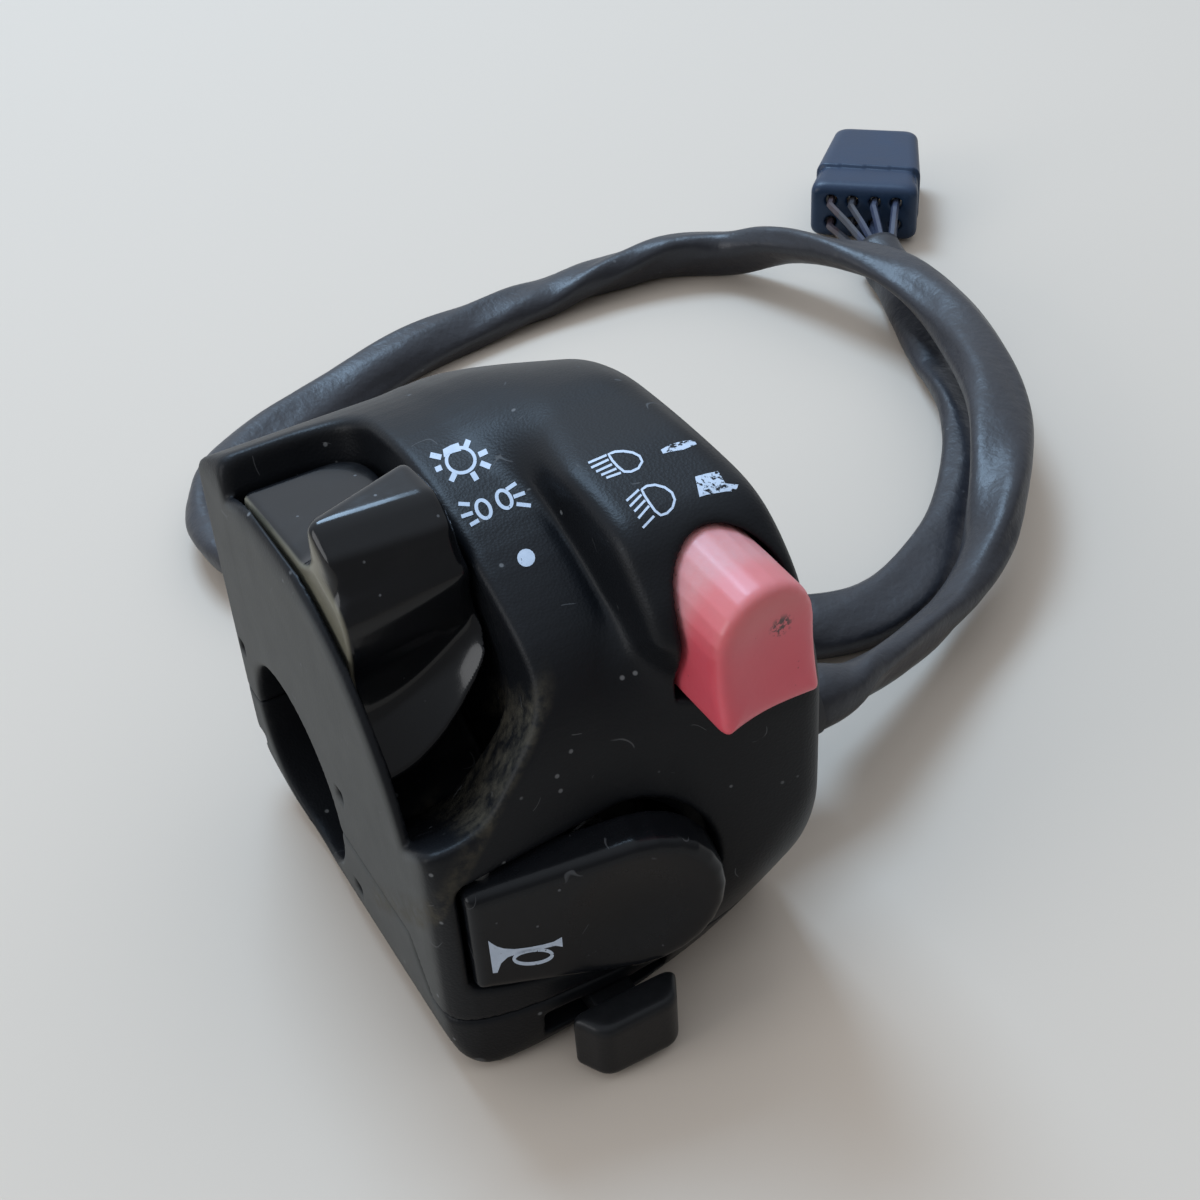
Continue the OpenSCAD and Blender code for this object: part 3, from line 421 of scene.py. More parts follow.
HORN_OUTLINE = rounded([
    (0, HORN_LOW, 0.8), (HORN_LEN - HORN_END_R - 1, HORN_MID_Z - HORN_END_R, 6),
    (HORN_LEN + 0.2, HORN_MID_Z - HORN_END_R - 0.6, 8.4),
    (HORN_LEN + 0.2, HORN_MID_Z + HORN_END_R + 0.4, 8.4),
    (HORN_LEN - HORN_END_R, HORN_MID_Z + HORN_END_R, 6), (0, HORN_TOP, 0.8),
])


def horn_axes(x, y):
    """Along the paddle and into the housing."""
    c, s = math.cos(math.radians(HORN_SLANT)), math.sin(math.radians(HORN_SLANT))
    dx, dy = x - HORN_X, y - HORN_Y
    return dx * c - dy * s, dx * s + dy * c


def lever_room(x, y, z):
    """The scooped recess round the light lever."""
    side = np.minimum(outline(y, z, RECESS_SIDE), round_bar(y, z, PIVOT_Y, PIVOT_Z, HUB_ROOM_R))
    back = y - 6.8 - 0.37 * np.maximum(z - 31, 0)
    corner = smax(back, x - RECESS_R, 7)
    room = np.maximum(side, corner)
    slant = 0.734 * (x + 5.5) - 0.402 * (y + 32.6) - 0.546 * (z - 27)
    swing = np.maximum(round_bar(y, z, PIVOT_Y, PIVOT_Z, SWING_R), np.maximum(room, x - RECESS_R))
    room = smin(smax(room, slant, 2.5), swing, 0.8)
    past_end = np.minimum(RECESS_L - x, -outline(y, z, END_FACE))
    return smax(room, past_end, 0.5)


def housing_solid(x, y, z):
    """The housing without its hollow."""
    tall = outline(y, z, HOUSING_OUTLINE)
    low = outline(y, z, LEFT_OUTLINE)
    fade = np.clip((31 - z) / 10, 0, 1) * np.clip((-y - 24) / 6, 0, 1)
    top_fade = np.clip((y + 20) / 14, 0, 1)
    groove = GROOVE_DEPTH * (1 - fade) * (1 - top_fade)
    lip = smax(low, x - CREASE_X, 1.4)
    raised = smax(tall, CREASE_X + 0.7 - x, 2.6 + 14 * fade + 4 * top_fade)
    body = smin(smin(lip, low + groove, 0.9), raised, 1.6 + 5 * fade + 3 * top_fade)
    body = smax(body, outline(x, y, PLAN), 1.1)
    body = smax(body, outline(x, z, FRONT), 1.4)
    for a, b, c, d in SHOULDERS:
        body = smax(body, a * x + b * y + c * z - d - 0.35, 2.6)
    return np.maximum(body, FLOOR_Z + 0.02 - z)


def add_housing():
    low, high = (-21.2, -41.6, -14.8), (21.2, 22.6, 41.6)
    x, y, z = grid(low, high, SHELL_STEP)
    solid = housing_solid(x, y, z)
    solid = smax(solid, -lever_room(x, y, z), 1.3)
    solid = smax(solid, -round_bar(y, z, 0, 0, BAR_R), 0.7)
    for end in (-1, 1):
        for cy in (-POCKET_Y, POCKET_Y):
            for cz in (-POCKET_Z, POCKET_Z):
                pocket = np.maximum(np.abs(y - cy), np.abs(z - cz)) - POCKET_HALF
                solid = np.maximum(solid, -np.maximum(pocket, HALF_W - POCKET_DEPTH - end * x))
    for sx, sy in CLAMP_SPOTS:
        seat = np.maximum(round_bar(x, y, sx, sy, SCREW_HEAD_R + MOVING_GAP), z - SCREW_SEAT)
        solid = smax(solid, -seat, 0.6)
    along, depth = horn_axes(x, y)
    paddle = outline(along, z, HORN_OUTLINE)
    solid = smax(solid, -np.maximum(paddle - PADDLE_GAP, depth - HORN_THICK - PADDLE_ROOM), 0.7)
    shell = np.maximum(solid, -(solid + WALL))
    shell = np.maximum(shell, -np.maximum(paddle + PADDLE_LEDGE, depth - PADDLE_REACH))
    shell = smax(shell, -np.maximum(dip_outline(x, z, MOVING_GAP), y - DIP_WALL_Y), 0.5)
    relief = between(z, KNOB_LOW - MOVING_GAP, KNOB_LOW + KNOB_H + MOVING_GAP)
    relief = np.maximum(relief, y - RELIEF_Y)
    shell = smax(shell, -np.maximum(relief, np.abs(x - KNOB_X) - KNOB_W / 2 - KNOB_TRAVEL), 0.5)
    slot = np.maximum(between(z, STEM_LOW - 0.4, STEM_HIGH + 0.4), y - SLOT_Y)
    shell = np.maximum(shell, -np.maximum(slot, np.abs(x - KNOB_X) - STEM_W / 2 - KNOB_TRAVEL - 0.1))
    hub = np.maximum(round_bar(y, z, PIVOT_Y, PIVOT_Z, HUB_R + 0.1), between(x, RECESS_R - 3, 0))
    shell = np.maximum(shell, -hub)
    shell = np.maximum(shell, -np.maximum(round_bar(y, z, EXIT_Y, EXIT_Z, EXIT_HOLE_R), 15 - x))
    for sx, sy in CLAMP_SPOTS:
        shell = np.maximum(shell, -np.maximum(round_bar(x, y, sx, sy, SCREW_HOLE_R), z))
    parting = outline(y, z, np.array([
        (60, 0), (-27.5, 0), (-31, -PARTING_STEP), (-60, -PARTING_STEP), (-60, 60), (60, 60),
    ]))
    upper = add_skin("upper_shell_form", smax(shell, parting + 0.03, 0.5), low, SHELL_STEP)
    lower = add_skin("lower_shell_form", smax(shell, 0.03 - parting, 0.5), low, SHELL_STEP)
    return upper, lower


# Controls
PIECE_STEP = 0.22
LEVER_OUTLINE = rounded([
    (5.2, 32.2, 1), (-7, 33.4, 3), (-10.5, 33.6, 2), (-20, 33, 1.5), (-19, 26, 6), (-20, 21.6, 4),
    (-24.2, 16.6, 0.6), (-23, 15.4, 0.6), (-14, 18.6, 2), (-9, 15.2, 2), (0.5, 15.6, 3), (6, 22, 2),
])
LEVER_TOE_Z, LEVER_BROW_Z, TOE_RISE = 16.6, 34.5, 10.5
FIN_BACK = rounded([(-11.2, 22, 1), (-12.9, 40.4, 1.4), (-40, 40.4, 1), (-40, 22, 1)])
FIN_FRONT = rounded([
    (-17, 22, 1), (-19.6, 29, 4), (-19, 34, 4), (-17.4, 37.8, 3), (-14.2, 40.4, 1.6), (10, 40.4, 1),
    (10, 22, 1),
])
FIN_AT = (LEVER_L + 1.4, -15.3)
FIN_LEN, FIN_BACK_YAW, FIN_FRONT_YAW = 12.4, 18, -5
SKIRT_CUT = eased([
    (-22, 8), (-22, 15.2), (-15.9, 15.6), (-11.9, 17), (-8.5, 19), (-6.9, 22), (-6.1, 27), (-3, 29),
    (-3, 8),
])


def turned(x, y, yaw):
    """Along and across the fin, turned by a yaw in degrees about its left end."""
    c, s = math.cos(math.radians(yaw)), math.sin(math.radians(yaw))
    dx, dy = x - FIN_AT[0], y - FIN_AT[1]
    return dx * c + dy * s, dy * c - dx * s + FIN_AT[1]


def add_lever():
    low, high = (-19.6, -25.4, 14.2), (-3.4, 7.2, 42)
    x, y, z = grid(low, high, PIECE_STEP)
    rise = TOE_RISE * np.clip((x - LEVER_L) / (LEVER_R - LEVER_L), 0, 1) ** 2
    pull = np.clip((LEVER_BROW_Z - z) / (LEVER_BROW_Z - LEVER_TOE_Z - rise), 0, 1)
    front = np.clip((-14 - y) / 3, 0, 1)
    body = outline(y - 0.1 * rise * front, z - rise * pull * front, LEVER_OUTLINE)
    body = smax(body, between(x, LEVER_L, LEVER_R), 1.1)
    body = smax(body, smax(y - 5.4, x - LEVER_R, 5.6), 0.6)
    along, over = turned(x, y, FIN_BACK_YAW)
    fin = smax(outline(over, z, FIN_BACK), between(along, -2, FIN_LEN), 1.4)
    fin = smax(fin, outline(turned(x, y, FIN_FRONT_YAW)[1], z, FIN_FRONT), 1.0)
    fin = smax(fin, between(x, LEVER_L, LEVER_R), 1.8)
    body = smin(body, fin, 3.0)
    body = np.maximum(body, between(x, LEVER_L, LEVER_R))
    body = smax(body, -np.maximum(outline(x, z, SKIRT_CUT), y + 15.6), 1.4)
    hub = smax(round_bar(y, z, PIVOT_Y, PIVOT_Z, HUB_R), between(x, LEVER_R - 2, -4.1), 0.3)
    return add_skin("lever_form", np.minimum(body, hub), low, PIECE_STEP)


DIP_FACE = (0.145, -0.98, 0.124)
DIP_FACE_MID = (DIP_X, -42.4, 30.2)
DIP_DISH_MID, DIP_DISH_R = (12.6, -55.6, 30.4), 14.3


DIP_OUTLINE = rounded([
    (DIP_X - DIP_W / 2, DIP_Z, 0.9), (DIP_X + DIP_W / 2, DIP_Z, 0.9),
    (DIP_X + DIP_W / 2, DIP_Z + DIP_H, 5.5), (DIP_X - DIP_W / 2, DIP_Z + DIP_H, 5.5),
])


def add_dip_button():
    low, high = (5.6, -44.6, 22.8), (18.4, -28.4, 38.2)
    x, y, z = grid(low, high, PIECE_STEP)
    button = outline(x, z, DIP_OUTLINE) + 0.012 * (DIP_BACK_Y - y)
    face = sum(n * (c - m) for n, c, m in zip(DIP_FACE, (x, y, z), DIP_FACE_MID))
    button = smax(button, face - 0.3, 2.0)
    dish_x, dish_y, dish_z = DIP_DISH_MID
    dish = np.sqrt((x - dish_x) ** 2 + (y - dish_y) ** 2 + (z - dish_z) ** 2) - DIP_DISH_R
    button = smax(button, -dish, 2.6)
    return add_skin("dip_button_form", smax(button, y - DIP_BACK_Y, 0.4), low, PIECE_STEP)


HORN_DISH_R, HORN_DISH_DEPTH = 15.0, 0.85


def add_horn_button():
    low, high = (-19.6, -44.6, -5.6), (9, -29.5, 14.4)
    x, y, z = grid(low, high, PIECE_STEP)
    along, depth = horn_axes(x, y)
    paddle = smax(outline(along, z, HORN_OUTLINE), -depth, 1.5)
    paddle = smax(paddle, depth - HORN_THICK, 0.4)
    mid, out = HORN_LEN - HORN_END_R - 0.5, HORN_DISH_R - HORN_DISH_DEPTH
    dish = np.sqrt((along - mid) ** 2 + (depth + out) ** 2 + (z - HORN_MID_Z) ** 2) - HORN_DISH_R
    return add_skin("horn_button_form", smax(paddle, -dish, 1.2), low, PIECE_STEP)


def add_turn_knob():
    low, high = (-10.8, -44.6, -14.2), (2.4, -28.8, -5.2)
    x, y, z = grid(low, high, PIECE_STEP)
    depth = np.clip((y - KNOB_FRONT) / (KNOB_ROOT - KNOB_FRONT - 0.8), 0, 1)
    half = KNOB_FACE_W / 2 + 0.3 + (KNOB_W - KNOB_FACE_W - 0.6) / 2 * depth
    cap = smax((np.abs(x - KNOB_X) - half) * 0.82, between(y, KNOB_FRONT, KNOB_ROOT), 1.1)
    cap = smax(cap, between(z, KNOB_LOW, KNOB_LOW + KNOB_H), 1.1)
    stem = np.maximum(np.abs(x - KNOB_X) - STEM_W / 2, between(z, STEM_LOW, STEM_HIGH))
    stem = np.maximum(stem, between(y, KNOB_ROOT - 1, STEM_END))
    return add_skin("turn_knob_form", np.minimum(cap, stem), low, PIECE_STEP)


def add_plug():
    """The connector: a block with the wires' face at one end and its mouth at the other."""
    step = 0.3
    low, high = (101.5, 70, FLOOR_Z - 0.4), (131.5, 100, FLOOR_Z + 12.6)
    x, y, z = grid(low, high, step)
    c, s = math.cos(math.radians(PLUG_ANGLE)), math.sin(math.radians(PLUG_ANGLE))
    dx, dy = x - PLUG_AT[0], y - PLUG_AT[1]
    a, b, h = dx * c + dy * s, dy * c - dx * s, z - FLOOR_Z
    slim = np.where(a < -4, 0.45, 0.0)
    narrow = PLUG_TAPER * (a / PLUG_LEN + 0.5)
    block = smax(np.abs(a) - PLUG_LEN / 2, np.abs(b) - PLUG_W / 2 + narrow + slim, 1.8)
    block = smax(block, between(h, 0.3, PLUG_H - slim), 2.0)
    for side in (-1, 1):
        rib = np.maximum(np.abs(b - side * (PLUG_W / 2 - 0.35 - narrow)) - 0.35, between(a, -3.5, 9.5))
        block = np.minimum(block, np.maximum(rib, between(h, 3.6, 6.6)))
    mouth = np.maximum(between(a, -7.5, 12), np.abs(b) - PLUG_W / 2 + narrow + 1.1)
    block = smax(block, -np.maximum(mouth, between(h, 1.4, PLUG_H - 1.1)), 0.4)
    for cb in PLUG_ROWS:
        for ch in (3.4, 7.2):
            hole = np.maximum(round_bar(b, h, cb, ch, 0.95), a + 7)
            block = smax(block, -hole, 0.4)
    return add_skin("plug_form", block, low, step)


upper_shell, lower_shell = add_housing()
lever = add_lever()
dip_button = add_dip_button()
horn_button = add_horn_button()
turn_knob = add_turn_knob()
plug = add_plug()


# Printed symbols
class Print:
    """Strokes given in pixels of the photograph and laid on the piece that the camera sees there."""

    LIFT = 0.035 * MM

    def __init__(self, name, piece):
        self.name = name
        depsgraph = bpy.context.evaluated_depsgraph_get()
        self.tree = BVHTree.FromObject(piece, depsgraph)
        self.verts, self.faces = [], []

    def place(self, px, py):
        """The point under a pixel; a pixel just past the piece takes its nearest point."""
        at, normal, _, _ = self.tree.ray_cast(CAMERA_AT, pixel_ray(px, py))
        if at is None:
            reach = (Vector(self.tree.find_nearest(CAMERA_AT)[0]) - CAMERA_AT).length
            at, normal, _, _ = self.tree.find_nearest(CAMERA_AT + pixel_ray(px, py) * reach)
        return at + normal * self.LIFT

    @staticmethod
    def finer(rows, step=3.0):
        """The rows of a sheet with points added between the rows that lie far apart."""
        out = [rows[:1]]
        for a, b in zip(rows[:-1], rows[1:]):
            count = max(1, math.ceil(np.linalg.norm(b - a, axis=1).max() / step))
            out.append(a + (b - a) * (np.arange(1, count + 1) / count)[:, None, None])
        return np.concatenate(out)

    def sheet(self, rows):
        """Rows of pixels with the same count, joined into small quads."""
        rows = self.finer(np.asarray(rows, float))
        rows = self.finer(rows.transpose(1, 0, 2)).transpose(1, 0, 2)
        start = len(self.verts)
        wide = len(rows[0])
        for row in rows:
            self.verts += [self.place(*p) for p in row]
        for i in range(len(rows) - 1):
            for k in range(wide - 1):
                a = start + i * wide + k
                self.faces.append((a, a + 1, a + wide + 1, a + wide))

    def stroke(self, points, width, closed=False, step=3.0):
        p = np.asarray(points, float)
        if closed:
            p = np.vstack([p, p[:1]])
        fine = [p[0]]
        for a, b in zip(p[:-1], p[1:]):
            n = max(1, int(np.linalg.norm(b - a) / step))
            fine += [a + (b - a) * (i + 1) / n for i in range(n)]
        p = np.array(fine)
        t = np.gradient(p, axis=0)
        if closed:
            t[0] = t[-1] = p[1] - p[-2]
        t /= np.linalg.norm(t, axis=1)[:, None] + 1e-9
        n = np.stack([-t[:, 1], t[:, 0]], axis=1) * width / 2
        self.sheet([(a, b) for a, b in zip(p + n, p - n)])

    def ring(self, x, y, rx, ry, width, turn=0.0, arc=(0, 360)):
        a = np.radians(np.linspace(*arc, 33))
        c, s = math.cos(math.radians(turn)), math.sin(math.radians(turn))
        u, v = rx * np.cos(a), ry * np.sin(a)
        self.stroke(np.stack([x + u * c - v * s, y + u * s + v * c], axis=1), width, step=50)

    def disc(self, x, y, r):
        for half in (-1, 1):
            rows = []
            for k in range(9):
                a = math.radians(180 * k / 8)
                rows.append([(x, y), (x + r * math.cos(a), y + half * r * math.sin(a))])
            self.sheet(rows)

    def add(self):
        verts = np.array([tuple(v) for v in self.verts]) / MM
        return add_mesh(self.name, verts, self.faces, smooth=False)


def crop_points(points, corner, scale):
    return [(corner[0] + u / scale, corner[1] + v / scale) for u, v in points]


LEFT_CROP = ((170, 340), 3.336)
RIGHT_CROP = ((420, 340), 3.5636)
LOW_CROP = ((420, 640), 3.484)


def print_light_marks():
    ink = Print("light_marks", upper_shell)
    spot = lambda *p: crop_points(p, *LEFT_CROP)
    (x, y), = spot((970, 402))
    ink.ring(x, y, 14.3, 12.6, 3.4)
    rays = [
        ((985, 362), (996, 334)), ((1030, 384), (1058, 371)), ((1036, 411), (1069, 424)),
        ((1008, 442), (1024, 468)), ((950, 446), (938, 472)), ((905, 392), (868, 384)),
        ((906, 425), (886, 434)),
    ]
    for a, b in rays:
        ink.stroke(spot(a, b), 5.6)
    ink.sheet([spot((910, 366), (914, 392)), spot((936, 352), (942, 378)), spot((962, 343), (972, 370))])
    for mid, turn in (((1046, 565), 62), ((1115, 532), 58)):
        (x, y), = spot(mid)
        ink.ring(x, y, 9.6, 6.6, 3.6, turn)
    for a, b in [
        ((962, 547), (1000, 549)), ((972, 590), (1010, 577)), ((1002, 618), (1030, 602)),
        ((1122, 500), (1154, 478)), ((1146, 524), (1184, 510)), ((1156, 548), (1204, 553)),
    ]:
        ink.stroke(spot(a, b), 4.0)
    (x, y), = spot((1188, 727))
    ink.disc(x, y, 9.0)
    return ink.add()


def print_beam_marks():
    ink = Print("beam_marks", upper_shell)
    spot = lambda *p: crop_points(p, *RIGHT_CROP)
    high = [
        (672, 408), (695, 399), (725, 397), (758, 402), (782, 414), (792, 434), (778, 458), (752, 470),
        (728, 470), (705, 452), (685, 430),
    ]
    ink.stroke(spot(*high), 2.5, closed=True)
    for a, b in [
        ((665, 411), (600, 439)), ((672, 427), (610, 456)), ((684, 444), (628, 470)),
        ((700, 459), (646, 482)), ((716, 474), (664, 492)),
    ]:
        ink.stroke(spot(a, b), 2.4)
    dipped = [
        (790, 534), (808, 521), (838, 517), (872, 526), (898, 545), (908, 570), (900, 598), (880, 618),
        (858, 625), (838, 610), (815, 578), (800, 555),
    ]
    ink.stroke(spot(*dipped), 2.5, closed=True)
    for a, b in [
        ((780, 534), (736, 574)), ((789, 552), (748, 594)), ((802, 572), (764, 612)),
        ((816, 592), (778, 636)), ((834, 628), (794, 670)),
    ]:
        ink.stroke(spot(a, b), 2.4)
    ink.sheet([spot((858, 392), (866, 406)), spot((890, 374), (898, 398)), spot((930, 362), (938, 392)),
               spot((975, 357), (986, 372))])
    ink.sheet([spot((980, 488), (996, 560)), spot((1006, 480), (1022, 552)), spot((1062, 468), (1070, 544)),
               spot((1088, 512), (1092, 540)), spot((1134, 516), (1126, 540))])
    return ink.add()


def print_horn_mark():
    ink = Print("horn_mark", horn_button)
    spot = lambda *p: crop_points(p, *LOW_CROP)
    ink.sheet([
        spot((237, 1047), (254, 1160)), spot((249, 1056), (270, 1158)), spot((268, 1067), (282, 1126)),
        spot((292, 1074), (306, 1104)), spot((330, 1076), (336, 1094)), spot((380, 1070), (384, 1083)),
        spot((430, 1060), (434, 1073)), spot((466, 1050), (472, 1064)), spot((494, 1034), (497, 1068)),
    ])
    (x, y), = spot((394, 1103))
    ink.ring(x, y, 19.2, 6.6, 3.4, -7)
    return ink.add()


light_marks = print_light_marks()
beam_marks = print_beam_marks()
horn_mark = print_horn_mark()


# Surfaces
class Map:
    """A value that varies over a surface; arithmetic on it adds shader nodes."""

    def __init__(self, look, socket):
        self.look, self.socket = look, socket

    def math(self, kind, *values, clamp=False):
        node = self.look.node("ShaderNodeMath", {"operation": kind, "use_clamp": clamp})
        for slot, value in zip(node.inputs, values):
            self.look.feed(slot, value)
        return Map(self.look, node.outputs[0])

    def __add__(self, other):
        return self.math("ADD", self, other)

    def __sub__(self, other):
        return self.math("SUBTRACT", self, other)

    def __mul__(self, other):
        return self.math("MULTIPLY", self, other)

    def __truediv__(self, other):
        return self.math("DIVIDE", self, other)

    def __rsub__(self, other):
        return self.math("SUBTRACT", other, self)

    __radd__, __rmul__ = __add__, __mul__

    def __abs__(self):
        return self.math("ABSOLUTE", self)

    def __pow__(self, other):
        return self.math("POWER", self, other)

    def clamp(self):
        return self.math("ADD", self, 0, clamp=True)

    def rise(self, low, high):
        """0 below low, 1 above high, smooth between; it falls where low is the larger."""
        node = self.look.node("ShaderNodeMapRange", {"interpolation_type": "SMOOTHSTEP"})
        if low < high:
            ends = (low, high, 0.0, 1.0)
        else:
            ends = (high, low, 1.0, 0.0)
        for slot, value in zip(node.inputs, (self, *ends)):
            self.look.feed(slot, value)
        return Map(self.look, node.outputs[0])

    def mix(self, first, second):
        """The colour first where the value is 0 and second where it is 1."""
        node = self.look.node("ShaderNodeMix", {"data_type": "RGBA"})
        for number, value in ((0, self), (6, first), (7, second)):
            self.look.feed(node.inputs[number], value)
        return Map(self.look, node.outputs[2])


class Look:
    """A material under construction on the part's own rest coordinates, in millimetres."""

    def __init__(self, name, **constants):
        self.material = bpy.data.materials.new(name)
        self.material.use_nodes = True
        self.tree = self.material.node_tree
        self.shader = self.tree.nodes["Principled BSDF"]
        for key, value in constants.items():
            self.shader.inputs[key.replace("_", " ").title().replace("Ior", "IOR")].default_value = value
        self.point = None

    def node(self, kind, settings=None, **links):
        node = self.tree.nodes.new(kind)
        for key, value in (settings or {}).items():
            setattr(node, key, value)
        for key, value in links.items():
            self.feed(node.inputs[key.replace("_", " ")], value)
        return node

    def feed(self, slot, value):
        if isinstance(value, Map):
            self.tree.links.new(value.socket, slot)
        elif isinstance(value, tuple) and len(value) == 3 and slot.type == "RGBA":
            slot.default_value = (*value, 1.0)
        else:
            slot.default_value = value

    def place(self):
        """Rest coordinates in millimetres as a vector."""
        if self.point is None:
            spot = self.node("ShaderNodeTexCoord")
            scale = self.node("ShaderNodeVectorMath", {"operation": "SCALE"})
            self.tree.links.new(spot.outputs["Object"], scale.inputs[0])
            scale.inputs["Scale"].default_value = 1 / MM
            self.point = Map(self, scale.outputs[0])
        return self.point

    def axes(self):
        split = self.node("ShaderNodeSeparateXYZ", Vector=self.place())
        return [Map(self, out) for out in split.outputs]

    def stretched(self, x, y, z, turn=0.0):
        node = self.node("ShaderNodeMapping", Vector=self.place())
        node.inputs["Scale"].default_value = (x, y, z)
        node.inputs["Rotation"].default_value = (0, 0, turn)
        return Map(self, node.outputs[0])

    def noise(self, size, detail=3.0, roughness=0.5, at=None):
        """Soft noise, about 0 to 1, whose lumps are size millimetres wide."""
        node = self.node("ShaderNodeTexNoise", Vector=at or self.place(), Scale=1 / size)
        node.inputs["Detail"].default_value = detail
        node.inputs["Roughness"].default_value = roughness
        return Map(self, node.outputs["Fac"])

    def cells(self, size, kind="F1", at=None):
        node = self.node("ShaderNodeTexVoronoi", {"feature": kind}, Vector=at or self.place(), Scale=1 / size)
        return Map(self, node.outputs["Distance"])

    def specks(self, size, amount):
        """1 on scattered specks of dust, 0 elsewhere."""
        spot = self.cells(size).rise(0.13, 0.06)
        return spot * self.noise(size * 2.3, 1.0).rise(1 - amount, 1.04 - amount)

    def fibres(self, size, amount):
        """1 on thin curled fibres of lint."""
        line = abs(self.noise(size, 1.0) - 0.5).rise(0.006, 0.002)
        here = self.noise(size * 0.55, 0.0, at=self.stretched(1.3, 1.1, 1.2))
        return line * here.rise(1 - amount, 1.05 - amount)

    def color(self, value):
        self.feed(self.shader.inputs["Base Color"], value)

    def rough(self, value):
        self.feed(self.shader.inputs["Roughness"], value)

    def bump(self, height, depth):
        """Height 0 to 1 stands for depth millimetres."""
        node = self.node("ShaderNodeBump", Height=height)
        node.inputs["Strength"].default_value = 1.0
        node.inputs["Distance"].default_value = depth * MM
        self.tree.links.new(node.outputs["Normal"], self.shader.inputs["Normal"])


def housing_plastic():
    """Finely grained black plastic, rougher on its end face, where its grey colour is painted sheen, and
    dusty in the lever's recess.
    """
    look = Look("housing_plastic", specular_ior_level=0.16)
    x, y, z = look.axes()
    grain = look.cells(0.3)
    mottle = look.noise(7.0, 4.0)
    end = x.rise(-19.9, -20.35)
    slope = 0.734 * x - 0.402 * y - 0.546 * z
    sill = slope.rise(-7.6, -6.0) * slope.rise(-4.5, -5.3) * x.rise(-3.5, -6.0) * y.rise(-17, -20)
    dust = sill * look.noise(1.6, 5.0, 0.65).rise(0.3, 0.75)
    speck = look.specks(2.3, 0.44) + look.fibres(6.0, 0.3) * 0.5
    ink = mottle.mix((0.0045, 0.0052, 0.0066), (0.0072, 0.008, 0.0098))
    # Painted sheen: the end face is coloured grey to stand in for its grazing reflection; the same mask also
    # makes it rougher.
    ink = (end * (0.7 + 0.3 * look.noise(3.0, 4.0))).mix(ink, (0.078, 0.08, 0.078))
    ink = (dust * 0.55).mix(ink, (0.085, 0.074, 0.052))
    look.color((speck * 0.35).clamp().mix(ink, (0.32, 0.33, 0.34)))
    look.rough((0.36 + 0.1 * mottle + 0.22 * end + 0.25 * dust + 0.3 * speck).clamp())
    look.bump(grain * 0.75 + look.noise(0.18, 2.0) * 0.35, 0.022)
    return look.material


def lever_gloss():
    """Polished black plastic with fine dust and faint rubbing marks; its left flank is tinted tan-grey as a
    painted reflection.
    """
    look = Look("lever_gloss", specular_ior_level=0.22, coat_weight=0.18, coat_roughness=0.06)
    x, _, z = look.axes()
    flank_reflection = x.rise(LEVER_L + 0.45, LEVER_L + 0.1) * z.rise(17, 20)
    rub = look.noise(1.2, 5.0, 0.6, at=look.stretched(0.35, 1.4, 1.0))
    smear = look.noise(5.0, 4.0).rise(0.45, 0.8)
    speck = look.specks(1.5, 0.42)
    ink = rub.mix((0.003, 0.0034, 0.0044), (0.006, 0.0066, 0.008))
    # Painted reflection: the flat left flank is tinted tan-grey to stand in for the light it reflects.
    ink = (flank_reflection * (0.8 + 0.2 * smear)).mix(ink, (0.17, 0.16, 0.12))
    look.color((speck * 0.3).mix(ink, (0.3, 0.31, 0.33)))
    look.rough((0.13 + 0.12 * smear + 0.05 * rub + 0.3 * speck + 0.2 * flank_reflection).clamp())
    look.bump(look.noise(0.5, 3.0) * 0.6 + rub * 0.4, 0.006)
    return look.material


def paddle_gloss():
    """Smooth black plastic, duller round the dish where the thumb presses."""
    look = Look("paddle_gloss", specular_ior_level=0.16, coat_weight=0.06, coat_roughness=0.16)
    x, y, z = look.axes()
    worn = (((x + 3) ** 2.0 + (z - 4.4) ** 2.0) ** 0.5).rise(7.5, 3.0)
    rub = look.noise(1.5, 5.0, 0.6)
    speck = look.specks(1.7, 0.44) + look.fibres(5.0, 0.3) * 0.5
    ink = rub.mix((0.004, 0.0046, 0.006), (0.008, 0.0088, 0.0105))
    look.color((speck * 0.3).clamp().mix(ink, (0.3, 0.31, 0.33)))
    look.rough((0.21 + 0.14 * worn * rub + 0.07 * rub + 0.3 * speck).clamp())
    look.bump(look.noise(0.35, 3.0) * 0.7 + look.cells(0.5) * 0.3, 0.01)
    return look.material


def knob_satin():
    look = Look("knob_satin", specular_ior_level=0.18, coat_weight=0.04, coat_roughness=0.2)
    rub = look.noise(1.1, 5.0, 0.6)
    speck = look.specks(1.3, 0.4)
    ink = rub.mix((0.006, 0.0065, 0.0075), (0.012, 0.0125, 0.014))
    look.color((speck * 0.25).mix(ink, (0.3, 0.3, 0.3)))
    look.rough((0.26 + 0.14 * rub + 0.3 * speck).clamp())
    look.bump(look.noise(0.3, 3.0), 0.014)
    return look.material


MARK_X, MARK_Z = 13.4, 32.8


